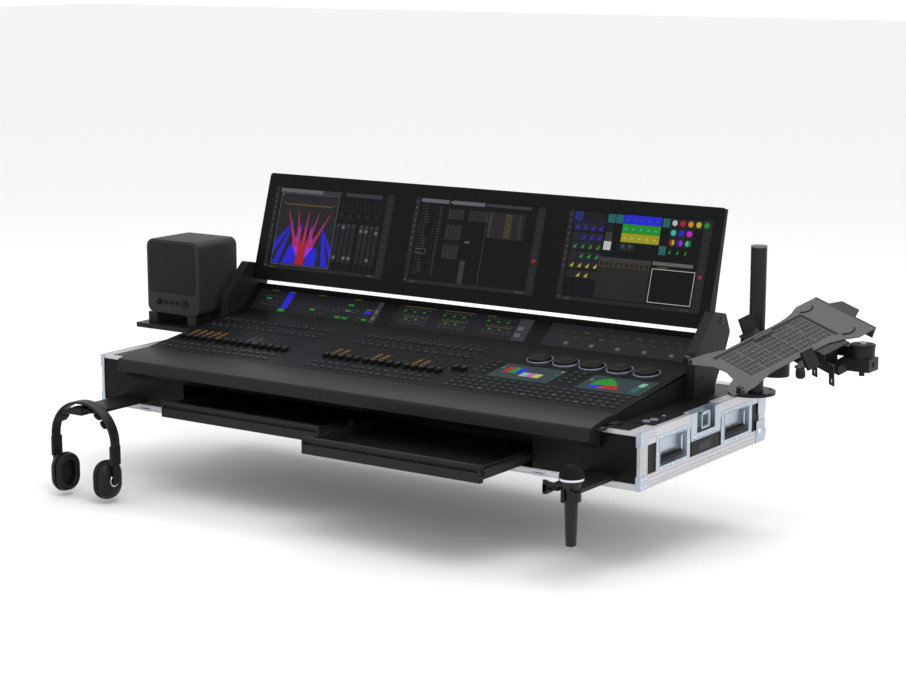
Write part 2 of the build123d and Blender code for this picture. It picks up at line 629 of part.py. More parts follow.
# ---------------------------------------------------------------- headphones
def headphone_bracket():
    """Flat plate fixed in the left front slot, with a narrower tongue for the headband."""
    plate = block((-680, -602), (-412, -CASE_Y + 14), (20, 28))
    tongue = block((PHONES_X - 20, PHONES_X + 20), (-466, -412), (20, 25.6))
    return plate + tongue + block((PHONES_X - 20, PHONES_X + 20), (-472, -466), (20, 34))


def arch(outer_x, outer_z, thickness, width, cut_z):
    """Upper part of an oval band in the XZ plane, centred over the bracket."""
    plane = Plane(origin=(PHONES_X, PHONES_Y + width / 2, BAND_TOP - outer_z), x_dir=(1, 0, 0),
                  z_dir=(0, -1, 0))
    section = Ellipse(outer_x, outer_z) - Ellipse(outer_x - thickness, outer_z - thickness)
    ring = extrude(plane * section, amount=width, dir=(0, -1, 0))
    return ring & block((-900, -400), (-600, -300), (cut_z, 100))


def headband():
    """Sprung band with its sliders and the yoke pins of both cups."""
    band = arch(98, 92, 9, 34, -52)
    for side in (-1, 1):
        x0 = PHONES_X + side * 97
        band += block(sorted((x0, x0 - side * 8)), (PHONES_Y - 15, PHONES_Y + 15), (-92, -46))
        band += block(sorted((x0 + side * 2, x0 - side * 6)), (PHONES_Y - 9, PHONES_Y + 9), (CUP_Z - 5, -84))
        low, high = sorted((x0 + side * 2, x0 - side * 14))
        band += rod_x(PHONES_Y, CUP_Z, 5, low, high)
    return band


def headband_pad():
    """Cushion under the middle of the band, resting on the bracket."""
    return arch(88.6, 82.6, 11, 32, 8).moved(Location((0, 0, -9.4)))


def ear_cup(side):
    """Hard shell of one ear cup, bored for the yoke pin."""
    x = PHONES_X + side * 78
    shell = Pos(x, PHONES_Y, CUP_Z) * Box(20, 72, 90)
    shell = fillet(shell.edges().filter_by(Axis.X), 30)
    boss = rod_x(PHONES_Y, CUP_Z, 14, *sorted((x + side * 9, x + side * 12.4)))
    return shell + boss - rod_x(PHONES_Y, CUP_Z, 5 + FIT, *sorted((x + side * 4, x + side * 14)))


def ear_cushion(side):
    """Soft ring of one ear cup."""
    x = PHONES_X + side * 59
    pad = Pos(x, PHONES_Y, CUP_Z) * Box(18, 76, 92)
    pad = fillet(pad.edges().filter_by(Axis.X), 32)
    hole = fillet((Pos(x, PHONES_Y, CUP_Z) * Box(24, 40, 56)).edges().filter_by(Axis.X), 18)
    return pad - hole


# ---------------------------------------------------------------- microphone
def microphone_bracket():
    """Flat arm in the right front slot, with the clip and a cable prong at its end."""
    arm = block((613, 687), (-424, -CASE_Y + 14), (20, 28))
    clip = rod((MIC_X, MIC_Y), 20, 8, 28)
    arm += clip + block((613, 622), (-446, -420), (14, 34)) + block((613, 640), (-432, -420), (20, 28))
    arm -= Pos(MIC_X, MIC_Y, 18) * Cylinder(15.2, 60)
    return arm - block((MIC_X - 12, MIC_X + 12), (-500, MIC_Y), (0, 60))


def microphone():
    """Tapered hand-held microphone: body and ball grille."""
    body = Pos(MIC_X, MIC_Y, -84) * Pos(0, 0, 57) * Cone(10.9, 14.6, 114)
    neck = Pos(MIC_X, MIC_Y, 41) * Cone(14.6, 23, 22)
    ball = Pos(MIC_X, MIC_Y, 55) * Sphere(25.5) & block((600, 760), (-500, -380), (52, 90))
    return group([body + neck, ball])


# ---------------------------------------------------------------- build
os.makedirs("parts", exist_ok=True)

extrusions = edge_extrusions()
write("edge_extrusions", extrusions)
write("case_shell", case_shell(extrusions))
write("front_fascia", front_fascia(extrusions))
write("deck_board", deck_board(extrusions))
write("corner_fittings", corner_fittings())
dishes = [handle_dish(*DISH_Y), handle_dish(-DISH_Y[1], -DISH_Y[0])]
write("handle_dishes", group(dishes + [mirrored(dish) for dish in dishes]))
write("latch_dishes", group([latch_dish(), mirrored(latch_dish())]))
write("case_rivets", case_rivets())
write("drawer_runners", drawer_runners())
write("drawer_left", drawer(-1, DRAWER_FRONTS["left"]))
write("drawer_right", drawer(1, DRAWER_FRONTS["right"]))
for end, y_range in (("rear", DISH_Y), ("front", (-DISH_Y[1], -DISH_Y[0]))):
    handle = case_handle(*y_range)
    write(f"handle_right_{end}", handle)
    write(f"handle_left_{end}", mirrored(handle))

write("console_chassis", console_chassis())
write("rear_housing", rear_housing())
write("surface_panel", surface_panel())
write("palm_rests", palm_rests())
write("side_cheeks", side_cheeks())
write("strip_panel", strip_panel())
write("strip_displays", strip_displays())
write("touch_screens", touch_screens())
write("circuit_board", circuit_board())
write("power_supply", power_supply())
write("playback_keys", keys(playback_key_places()))
write("command_keys", keys(command_key_places()))
for name, firsts in BANKS.items():
    write(f"faders_{name}", group([fader_cap(first + i * BANK_PITCH, CAP_Y) for first in firsts
                                   for i in range(BANK_TRACKS)]))
write("faders_master", group([fader_cap(x, MASTER_CAP_Y) for x in MASTER_X]))
for number, x in enumerate(ENCODER_X, start=1):
    write(f"encoder_knob_{number}", encoder_knob(x))

write("wing_frame", wing_frame())
write("wing_rear_cover", wing_rear_cover())
write("wing_displays", wing_displays())

write("speaker_cabinet", speaker_cabinet())
write("speaker_baffle", speaker_baffle())
write("speaker_knob", speaker_knob())
write("speaker_shelf", speaker_shelf())

write("pole_base", pole_base())
write("pole", pole())
write("pole_clamp", pole_clamp())
write("arm_lower", arm_lower())
write("arm_upper", arm_upper())
write("tray_head", tray_head())
write("laptop_tray", laptop_tray())
write("tray_clamp_left", tray_clamp(1))
write("tray_clamp_right", tray_clamp(-1))

write("headphone_bracket", headphone_bracket())
write("headband", headband())
write("headband_pad", headband_pad())
for name, side in (("left", -1), ("right", 1)):
    write(f"ear_cup_{name}", ear_cup(side))
    write(f"ear_cushion_{name}", ear_cushion(side))
write("microphone_bracket", microphone_bracket())
write("microphone", microphone())
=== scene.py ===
from math import atan2, cos, pi, radians, sin

import bmesh
import bpy
from mathutils import Matrix, Vector


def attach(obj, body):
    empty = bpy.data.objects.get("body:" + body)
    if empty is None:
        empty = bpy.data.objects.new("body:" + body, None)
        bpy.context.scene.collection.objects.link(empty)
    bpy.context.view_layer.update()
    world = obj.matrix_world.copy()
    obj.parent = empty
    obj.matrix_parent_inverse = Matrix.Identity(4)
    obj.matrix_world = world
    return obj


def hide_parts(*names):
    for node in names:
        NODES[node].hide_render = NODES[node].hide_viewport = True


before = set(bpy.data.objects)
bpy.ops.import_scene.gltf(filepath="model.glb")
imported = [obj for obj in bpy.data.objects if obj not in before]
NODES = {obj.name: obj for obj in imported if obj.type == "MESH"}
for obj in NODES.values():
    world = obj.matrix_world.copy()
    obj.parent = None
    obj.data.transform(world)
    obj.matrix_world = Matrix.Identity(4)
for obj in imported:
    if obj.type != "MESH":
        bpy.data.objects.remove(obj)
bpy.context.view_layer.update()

# ---------------------------------------------------------------- dimensions, millimetres
CASE_X, CASE_Y, CASE_H = 740.0, 279.0, 121.4
FLOOR_Z = -185.0
SURFACE_TILT, SURFACE_Z = radians(7.1), 166.0
LATCH = 66.0
BANKS_LEFT, BANKS_CENTRE = (-621.6, -508.0, -394.6), (-183.0, -68.5, 45.0)
BANK_TRACKS, BANK_PITCH = 5, 21.8
KEY_ROWS = (47.0, -5.0, -162.0, -190.0)
COLUMNS = [first + i * BANK_PITCH for first in BANKS_LEFT + BANKS_CENTRE for i in range(BANK_TRACKS)]
MASTER_X = (158.6, 179.0)
FADER_Y, MASTER_Y = -118.0, -88.0
ENCODER_X, ENCODER_Y = (300.0, 368.0, 436.0, 505.0, 573.0), 40.0
KEY_PITCH = 22.0
TOUCH_LEFT, TOUCH_RIGHT, TOUCH_Y = (246.0, 405.0), (473.0, 634.0), (-104.0, -8.0)
STRIP_LOW, STRIP_HIGH = (135.5, 183.0), (203.0, 240.0)
STRIP_SIZE, DISPLAY_PITCH = (396.0, 74.0), 434.0
WING_BASE, WING_TILT = (184.0, 286.0), radians(17.1)
WING_SIZE = (370.9, 208.9)
WING_PIVOT, CHEEK_X = (196.9, 273.6), 670.0
PHONES_X, PHONES_Y, CUP_Z, BAND_TOP = -641.0, -442.0, -129.0, 49.0
MIC_X, MIC_Y = 677.0, -440.0
SPEAKER_X, SPEAKER_Y, SPEAKER_Z = (-864.0, -690.0), (21.0, 170.0), (170.6, 358.0)
POLE, POLE_TOP, FOOT, HUB, ELBOW = (762.0, 184.0), 450.0, (747.0, 197.0), (812.0, 178.0), (1022.0, 152.0)
TRAY_ORIGIN, TRAY_LONG, TRAY_NORMAL = (872.5, 52.7, 261.7), (0.374, 0.883, 0.285), (0.113, -0.348, 0.931)


def plane(origin, x_dir, z_dir):
    """A local frame from its origin, x direction and normal."""
    z = Vector(z_dir).normalized()
    x = Vector(x_dir)
    x = (x - z * x.dot(z)).normalized()
    y = z.cross(x)
    turn = Matrix((x, y, z)).transposed().to_4x4()
    return Matrix.Translation(origin) @ turn


WORLD = Matrix.Identity(4)
SURFACE = plane((0, 0, SURFACE_Z), (1, 0, 0), (0, -sin(SURFACE_TILT), cos(SURFACE_TILT)))
STRIP_TILT = atan2(STRIP_HIGH[1] - STRIP_LOW[1], STRIP_HIGH[0] - STRIP_LOW[0])
STRIP = plane((0, *STRIP_LOW), (1, 0, 0), (0, -sin(STRIP_TILT), cos(STRIP_TILT)))
WING = plane((0, *WING_BASE), (1, 0, 0), (0, -cos(WING_TILT), sin(WING_TILT)))
TRAY = plane(TRAY_ORIGIN, TRAY_LONG, TRAY_NORMAL)


# ---------------------------------------------------------------- materials
def add_node(tree, kind, sockets=(), **settings):
    """A new shader node with its settings and its (socket, value) pairs."""
    node = tree.nodes.new(f"ShaderNode{kind}")
    for key, value in settings.items():
        setattr(node, key, value)
    for socket, value in sockets:
        node.inputs[socket].default_value = value
    return node


def material(name, colour, rough=0.5, metallic=0.0, grain=400.0, bump=0.15, vary=0.25, stretch=(1, 1, 1),
             shine=0.12, glow=None):
    """A procedural finish: fine grain in relief and roughness, and a slow drift of colour."""
    mat = bpy.data.materials.new(name)
    mat.use_nodes = True
    tree = mat.node_tree
    shader = tree.nodes["Principled BSDF"]

    def link(source, out, target, into):
        tree.links.new(source.outputs[out], target.inputs[into])

    coords = add_node(tree, "TexCoord")
    mapping = add_node(tree, "Mapping", [("Scale", stretch)])
    link(coords, "Object", mapping, "Vector")
    fine = add_node(tree, "TexNoise", [("Scale", grain), ("Detail", 3.0)])
    link(mapping, "Vector", fine, "Vector")
    slow = add_node(tree, "TexNoise", [("Scale", 9.0), ("Detail", 5.0)])
    link(coords, "Object", slow, "Vector")
    shades = [("A", (*[c * (1 - vary) for c in colour], 1)),
              ("B", (*[min(1, c * (1 + vary)) for c in colour], 1))]
    drift = add_node(tree, "Mix", shades, data_type="RGBA")
    link(slow, "Fac", drift, "Factor")
    link(drift, "Result", shader, "Base Color")
    limits = [("From Min", 0.3), ("From Max", 0.7), ("To Min", max(0.04, rough - 0.07)),
              ("To Max", min(1.0, rough + 0.07))]
    spread = add_node(tree, "MapRange", limits)
    link(fine, "Fac", spread, "Value")
    link(spread, "Result", shader, "Roughness")
    relief = add_node(tree, "Bump", [("Strength", bump), ("Distance", 0.0003)])
    link(fine, "Fac", relief, "Height")
    link(relief, "Normal", shader, "Normal")
    shader.inputs["Metallic"].default_value = metallic
    shader.inputs["Specular IOR Level"].default_value = 0.5 if metallic > 0.3 else shine
    if glow is not None:
        shader.inputs["Emission Strength"].default_value = 1.0
        lit = add_node(tree, "Mix", [("A", (*[c * 0.85 for c in glow], 1)), ("B", (*glow, 1))],
                       data_type="RGBA")
        link(fine, "Fac", lit, "Factor")
        link(lit, "Result", shader, "Emission Color")
    return mat


ANODISED = material("anodised", (0.50, 0.50, 0.52), 0.42, 0.75, 260, 0.10, 0.06, (1, 0.03, 1))
ZINC = material("zinc", (0.42, 0.47, 0.53), 0.38, 0.85, 120, 0.12, 0.15)
RIVET = material("rivet", (0.62, 0.65, 0.70), 0.30, 0.9, 300, 0.08, 0.1)
BOARD = material("board_black", (0.0035, 0.0035, 0.0040), 0.42, 0, 700, 0.30)
CONSOLE = material("console_black", (0.0062, 0.0064, 0.0068), 0.48, 0, 900, 0.30)
PANEL = material("panel_black", (0.0030, 0.0032, 0.0034), 0.42, 0, 1100, 0.20, shine=0.09)
PALM = material("palm_grey", (0.0078, 0.0084, 0.0090), 0.42, 0, 1300, 0.22, 0.12, shine=0.17)
CHEEK = material("cheek_grey", (0.0085, 0.0086, 0.0088), 0.50, 0, 800, 0.25, 0.15, shine=0.16)
DRAWER = material("drawer_black", (0.0105, 0.0107, 0.0110), 0.42, 0, 800, 0.25, shine=0.16)
RAIL = material("rail_grey", (0.022, 0.026, 0.028), 0.45, 0.2, 300, 0.10)
RUBBER = material("rubber_black", (0.006, 0.006, 0.006), 0.55, 0, 700, 0.30, shine=0.2)
DISPLAY = material("display", (0.0030, 0.0032, 0.0038), 0.30, 0, 1500, 0.02, 0.05, shine=0.10)
CIRCUIT = material("circuit_green", (0.01, 0.08, 0.03), 0.4, 0, 200, 0.2)
SUPPLY = material("supply_steel", (0.4, 0.4, 0.4), 0.4, 0.9, 200, 0.1)
KEYCAP = material("key_grey", (0.0100, 0.0108, 0.0122), 0.42, 0, 1200, 0.18, shine=0.2)
CAP = material("cap_black", (0.0065, 0.0065, 0.0068), 0.45, 0, 1200, 0.18, shine=0.14)
SPEAKER = material("speaker_black", (0.0185, 0.0185, 0.0188), 0.60, 0, 1500, 0.35, 0.12, shine=0.2)
GRILLE = material("grille_cloth", (0.0150, 0.0150, 0.0152), 0.75, 0, 1800, 0.5, 0.15, shine=0.1)
ARM = material("arm_black", (0.0068, 0.0068, 0.0072), 0.42, 0, 900, 0.25, shine=0.16)
POLE_FINISH = material("pole_black", (0.0080, 0.0080, 0.0084), 0.34, 0.0, 500, 0.15, 0.2, (1, 1, 0.02),
                       shine=0.2)
POLE_CAP = material("pole_cap", (0.12, 0.125, 0.13), 0.5, 0, 600, 0.2, 0.1)
TRAY_GREY = material("tray_grey", (0.056, 0.057, 0.058), 0.55, 0, 900, 0.35, 0.10, shine=0.25)
# painted shade: near-black colour laid in the tray's groove, on the sheet under its vent bars and in its slots,
# where shade falls
TRAY_SHADE = material("tray_painted_shade", (0.010, 0.010, 0.011), 0.55, 0, 900, 0.2)
PHONES = material("phones_black", (0.0060, 0.0060, 0.0063), 0.42, 0, 900, 0.2, shine=0.2)
PAD = material("cushion_black", (0.0060, 0.0060, 0.0062), 0.55, 0, 420, 0.55, 0.2, shine=0.2)
CHROME = material("chrome_ring", (0.55, 0.58, 0.62), 0.22, 0.95, 200, 0.05, 0.1)
MIC_BODY = material("mic_black", (0.0070, 0.0070, 0.0072), 0.38, 0, 1000, 0.15, shine=0.2)
MIC_MESH = material("mic_mesh", (0.0060, 0.0060, 0.0064), 0.40, 0.2, 600, 0.2)
COLLAR = material("encoder_collar", (0.24, 0.26, 0.32), 0.30, 0.8, 300, 0.08, 0.1)
MARK = material("legend_grey", (0.030, 0.032, 0.035), 0.5, 0, 900, 0.1)
LABEL = material("label_plate", (0.035, 0.036, 0.038), 0.5, 0, 900, 0.15)
CONNECTOR = material("connector_violet", (0.16, 0.16, 0.24), 0.4, 0.3, 300, 0.1)

for node_names, finish in (
        (("edge_extrusions",), ANODISED), (("corner_fittings", "handle_dishes", "latch_dishes"), ZINC),
        (("case_rivets",), RIVET), (("case_shell", "front_fascia", "deck_board"), BOARD),
        (("drawer_runners",), BOARD), (("drawer_left", "drawer_right"), DRAWER),
        (("console_chassis", "rear_housing", "wing_rear_cover"), CONSOLE),
        (("surface_panel", "strip_panel", "wing_frame"), PANEL), (("palm_rests",), PALM),
        (("side_cheeks",), CHEEK), (("strip_displays", "touch_screens", "wing_displays"), DISPLAY),
        (("circuit_board",), CIRCUIT), (("power_supply",), SUPPLY),
        (("speaker_cabinet", "speaker_baffle"), SPEAKER), (("speaker_knob",), CAP),
        (("speaker_shelf", "pole_base", "pole_clamp", "arm_lower", "arm_upper", "tray_head"), ARM),
        (("tray_clamp_left", "tray_clamp_right", "headphone_bracket", "microphone_bracket"), ARM),
        (("pole",), POLE_FINISH), (("laptop_tray",), TRAY_GREY)):
    for node_name in node_names:
        for held in NODES[node_name].material_slots:
            held.material = finish


# ---------------------------------------------------------------- mesh helpers
def piece(name, bm, body, finish, bevel=0.0, segments=2, smooth=40.0, stands_for=()):
    """Turns a bmesh drawn in millimetres into a piece that rides on a body."""
    bmesh.ops.recalc_face_normals(bm, faces=bm.faces)
    bmesh.ops.scale(bm, vec=(0.001, 0.001, 0.001), verts=bm.verts)
    mesh = bpy.data.meshes.new(name)
    bm.to_mesh(mesh)
    bm.free()
    mesh.materials.append(finish)
    mesh.polygons.foreach_set("use_smooth", [True] * len(mesh.polygons))
    mesh.set_sharp_from_angle(angle=radians(smooth))
    obj = bpy.data.objects.new(name, mesh)
    bpy.context.scene.collection.objects.link(obj)
    if bevel:
        rounding = obj.modifiers.new("edges", "BEVEL")
        rounding.width = bevel / 1000
        rounding.segments = segments
        rounding.limit_method = "ANGLE"
        rounding.angle_limit = radians(35)
        rounding.harden_normals = False
    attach(obj, body)
    if stands_for:
        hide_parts(*stands_for)
    return obj


def box(bm, frame_at, x, y, z, top=1.0):
    """A box from its (low, high) ranges in a local frame; top < 1 draws the upper face in."""
    cx, cy = (x[0] + x[1]) / 2, (y[0] + y[1]) / 2
    corners = []
    for level, height in ((0, z[0]), (1, z[1])):
        shrink = top if level else 1.0
        for a, b in ((x[0], y[0]), (x[1], y[0]), (x[1], y[1]), (x[0], y[1])):
            corners.append(frame_at @ Vector((cx + (a - cx) * shrink, cy + (b - cy) * shrink, height)))
    verts = [bm.verts.new(c) for c in corners]
    for face in ((3, 2, 1, 0), (4, 5, 6, 7), (0, 1, 5, 4), (1, 2, 6, 5), (2, 3, 7, 6), (3, 0, 4, 7)):
        bm.faces.new([verts[i] for i in face])
    return verts


def prism(bm, frame_at, outline, z0, z1):
    """A flat outline in a local frame carried from z0 to z1."""
    low = [bm.verts.new(frame_at @ Vector((a, b, z0))) for a, b in outline]
    high = [bm.verts.new(frame_at @ Vector((a, b, z1))) for a, b in outline]
    bm.faces.new(low[::-1])
    bm.faces.new(high)
    count = len(outline)
    for i in range(count):
        j = (i + 1) % count
        bm.faces.new((low[i], low[j], high[j], high[i]))


def lathe(bm, frame_at, profile, sides=32, ribs=0, rib_depth=0.0):
    """Turns a (radius, height) profile round the local z axis; ribs make it knurled."""
    rings = []
    for radius, height in profile:
        ring = []
        if radius < 1e-6:
            ring.append(bm.verts.new(frame_at @ Vector((0, 0, height))))
        else:
            for i in range(sides):
                turn = 2 * pi * i / sides
                wave = rib_depth * (0.5 - 0.5 * cos(turn * ribs)) if ribs else 0.0
                r = radius - min(wave, radius * 0.5)
                ring.append(bm.verts.new(frame_at @ Vector((r * cos(turn), r * sin(turn), height))))
        rings.append(ring)
    for a, b in zip(rings, rings[1:]):
        if len(a) == 1 and len(b) == 1:
            continue
        for i in range(sides):
            j = (i + 1) % sides
            if len(a) == 1:
                bm.faces.new((a[0], b[j], b[i]))
            elif len(b) == 1:
                bm.faces.new((a[i], a[j], b[0]))
            else:
                bm.faces.new((a[i], a[j], b[j], b[i]))
    for ring in (rings[0], rings[-1]):
        if len(ring) > 1:
            bm.faces.new(ring)


def tube(bm, points, radius, sides=12, ribs=0, rib_depth=0.0):
    """A round bar along a list of points, with mitred corners and closed ends."""
    rings = []
    count = len(points)
    previous = None
    for i, point in enumerate(points):
        ahead = points[min(i + 1, count - 1)] - points[max(i - 1, 0)]
        along = ahead.normalized()
        side = previous if previous is not None else along.orthogonal().normalized()
        side = (side - along * side.dot(along)).normalized()
        previous = side
        other = along.cross(side)
        r = radius - (rib_depth if ribs and i % ribs == 0 else 0.0)
        ring = []
        for k in range(sides):
            turn = 2 * pi * k / sides
            ring.append(bm.verts.new(point + side * (r * cos(turn)) + other * (r * sin(turn))))
        rings.append(ring)
    for a, b in zip(rings, rings[1:]):
        for k in range(sides):
            n = (k + 1) % sides
            bm.faces.new((a[k], a[n], b[n], b[k]))
    bm.faces.new(rings[0][::-1])
    bm.faces.new(rings[-1])


def at(x, y, z):
    """A frame moved to a point."""
    return Matrix.Translation((x, y, z))


def sideways(x, y, z, side):
    """A frame at a point whose z axis points left (side -1) or right (side 1)."""
    return at(x, y, z) @ Matrix.Rotation(radians(90 * side), 4, "Y")


def flank(side, inner, outer):
    """The x range of a layer on one end of the case, from its distances past CASE_X."""
    return sorted((side * (CASE_X + inner), side * (CASE_X + outer)))


# ---------------------------------------------------------------- lit graphics
GLOW = {
    "white": (0.36, 0.36, 0.36), "light": (0.085, 0.082, 0.092), "grey": (0.027, 0.0265, 0.032),
    "dim": (0.011, 0.011, 0.0135), "dark": (0.0060, 0.0060, 0.0078), "blue": (0.013, 0.012, 0.46),
    "navy": (0.010, 0.016, 0.12), "green": (0.008, 0.19, 0.010), "olive": (0.24, 0.22, 0.010),
    "yellow": (0.36, 0.30, 0.014), "mustard": (0.062, 0.050, 0.007), "red": (0.28, 0.010, 0.014),
    "crimson": (0.30, 0.015, 0.060), "purple": (0.26, 0.020, 0.50), "magenta": (0.38, 0.012, 0.38),
    "orange": (0.42, 0.17, 0.013), "teal": (0.009, 0.085, 0.080), "cyan": (0.025, 0.36, 0.31),
    "slate": (0.017, 0.030, 0.034), "mint": (0.15, 0.36, 0.28), "pink": (0.33, 0.09, 0.30),
    "lime": (0.34, 0.37, 0.10), "amber": (0.22, 0.115, 0.028), "lavender": (0.070, 0.060, 0.090),
    "led": (0.055, 0.062, 0.085),
}
GLOW_MATERIALS = {}


def glow_material(colour):
    """The lit finish of one named colour, made when it is first asked for."""
    if colour not in GLOW_MATERIALS:
        shade = GLOW[colour]
        body = tuple(c * 0.25 for c in shade)
        GLOW_MATERIALS[colour] = material(f"lit_{colour}", body, 0.45, 0, 2500, 0.02, 0.05, glow=shade)
    return GLOW_MATERIALS[colour]


class Graphics:
    """Coloured shapes laid on a display, gathered into one piece per colour."""

    def __init__(self, name, body, frame_at, slot="display"):
        """Starts an empty page in a local frame on a body."""
        self.name, self.body, self.frame_at, self.slot = name, body, frame_at, slot
        self.meshes = {}

    def mesh(self, colour):
        """The mesh that gathers one colour."""
        return self.meshes.setdefault(colour, bmesh.new())

    def bar(self, colour, x0, x1, y0, y1, level=0.1):
        """A filled rectangle, level mm proud."""
        box(self.mesh(colour), self.frame_at, (x0, x1), (y0, y1), (0.02, level))

    def outline(self, colour, x0, x1, y0, y1, width=1.2, level=0.16):
        """The border of a rectangle."""
        self.bar(colour, x0, x1, y0, y0 + width, level)
        self.bar(colour, x0, x1, y1 - width, y1, level)
        self.bar(colour, x0, x0 + width, y0 + width, y1 - width, level)
        self.bar(colour, x1 - width, x1, y0 + width, y1 - width, level)

    def shape(self, colour, points, level=0.1):
        """A filled polygon."""
        prism(self.mesh(colour), self.frame_at, points, 0.02, level)

    def disc(self, colour, x, y, radius, level=0.2, sides=10, squash=1.0):
        """A filled circle, or an ellipse where squash isn't 1."""
        ring = [(x + radius * cos(2 * pi * i / sides), y + radius * squash * sin(2 * pi * i / sides))
                for i in range(sides)]
        self.shape(colour, ring, level)

    def finish(self):
        """Turns every colour's mesh into a piece."""
        for colour, bm in self.meshes.items():
            piece(f"{self.name}_{colour}", bm, self.body, glow_material(colour))


def wing_face(index):
    """Frame at the lower left corner of one wing display."""
    return WING @ at(index * DISPLAY_PITCH - WING_SIZE[0] / 2, 0, -0.48)


def strip_face(index):
    """Frame at the lower left corner of one strip display."""
    return STRIP @ at(index * DISPLAY_PITCH - STRIP_SIZE[0] / 2, 0, 0)


def display_frame(g):
    """Tool columns, title line and status line that all wing displays share."""
    w, h = WING_SIZE
    g.bar("dim", 0, 13, 0, h)
    g.bar("dim", w - 22, w, 0, h)
    g.bar("dim", 13, w - 22, 0, 9)
    for i in range(9):
        g.bar("light", 5, 8, h - 12 - i * 15, h - 9 - i * 15, 0.16)
        g.bar("grey", w - 15, w - 7, h - 16 - i * 19, h - 14 - i * 19, 0.16)
    g.bar("light", 4, 8, 5, 8, 0.16)
    g.bar("mustard", 20, 38, 3, 5, 0.16)
    for i in range(3):
        g.bar("light", w - 48 + i * 8, w - 45 + i * 8, 3, 6, 0.16)


def stage_view():
    """Left wing display: rendered stage with coloured beams, and a mixer page."""
    g = Graphics("wing_left", "monitor_wing", wing_face(-1))
    h = WING_SIZE[1]
    display_frame(g)
    g.bar("light", 17, 150, h - 14, h - 5)
    g.bar("grey", 150, 208, h - 14, h - 5)
    g.bar("grey", 222, 334, h - 14, h - 5)
    left, right, low, high = 23.0, 203.0, 12.0, h - 17
    g.bar("dim", left, right, low, high, 0.08)
    g.outline("light", left - 1.5, right + 1.5, low - 1.5, high + 1.5, 1.3, 0.12)

    def spot(p, q):
        """A point of the stage picture from its fractions across and up."""
        return left + p * (right - left), low + q * (high - low)

    truss = ((0.02, 0.90), (0.10, 0.86), (0.9, 0.86), (0.98, 0.90), (0.9, 0.84), (0.1, 0.84))
    g.shape("mustard", [spot(*point) for point in truss], 0.10)
    blue = [((0.29, 0.63), (0.0, 0.30), (0.0, 0.14)), ((0.29, 0.60), (0.01, 0.01), (0.12, 0.01)),
            ((0.44, 0.61), (0.17, 0.01), (0.40, 0.01)), ((0.60, 0.61), (0.58, 0.01), (0.78, 0.01)),
            ((0.77, 0.63), (0.87, 0.01), (0.99, 0.01)), ((0.77, 0.58), (1.0, 0.12), (1.0, 0.27))]
    for apex, a, b in blue:
        g.shape("blue", [spot(*apex), spot(*a), spot(*b)], 0.14)
    g.shape("blue", [spot(0.29, 0.29), spot(0.32, 0.29), spot(0.26, 0.15), spot(0.22, 0.15)], 0.15)
    g.shape("blue", [spot(0.72, 0.26), spot(0.75, 0.26), spot(0.79, 0.10), spot(0.75, 0.10)], 0.15)
    purple = [((0.43, 0.55), (0.33, 0.26), (0.45, 0.08)), ((0.60, 0.55), (0.55, 0.08), (0.68, 0.26))]
    for apex, a, b in purple:
        g.shape("purple", [spot(*apex), spot(*a), spot(*b)], 0.18)
    for p in (0.16, 0.34, 0.53, 0.72, 0.92):
        lean = (p - 0.49) * 0.34
        g.shape("crimson", [spot(p, 0.79), spot(0.455 + lean, 0.26), spot(0.525 + lean, 0.26)], 0.22)
    g.shape("red", [spot(0.43, 0.28), spot(0.55, 0.28), spot(0.57, 0.01), spot(0.41, 0.01)], 0.26)
    g.disc("green", 27, h - 21, 2, 0.2)
    for row in range(3):
        for column in range(9):
            g.bar("grey", 216 + column * 14, 219 + column * 14, 176 - row * 9, 178.5 - row * 9, 0.14)
    for column in range(5):
        g.disc("grey", 217 + column * 27, 148, 4, 0.14, 12)
        g.disc("dark", 217 + column * 27, 148, 2.8, 0.18, 12)
    g.bar("dark", 208, 344, 138, 142, 0.12)
    levels = (0, 118, 0, 0, 112, 112, 0, 110)
    for column, level in enumerate(levels):
        x = 209 + column * 15.5 + (9 if column > 3 else 0)
        g.bar("dim", x, x + 11, 30, 128, 0.12)
        g.bar("grey", x, x + 11, 120, 126, 0.15)
        g.bar("light", x + 1, x + 10, (level or 42) - 4, (level or 42) + 4, 0.2)
        for row in range(4):
            g.bar("grey", x + 2, x + 4, 12 + row * 6, 14 + row * 6, 0.14)
    g.finish()


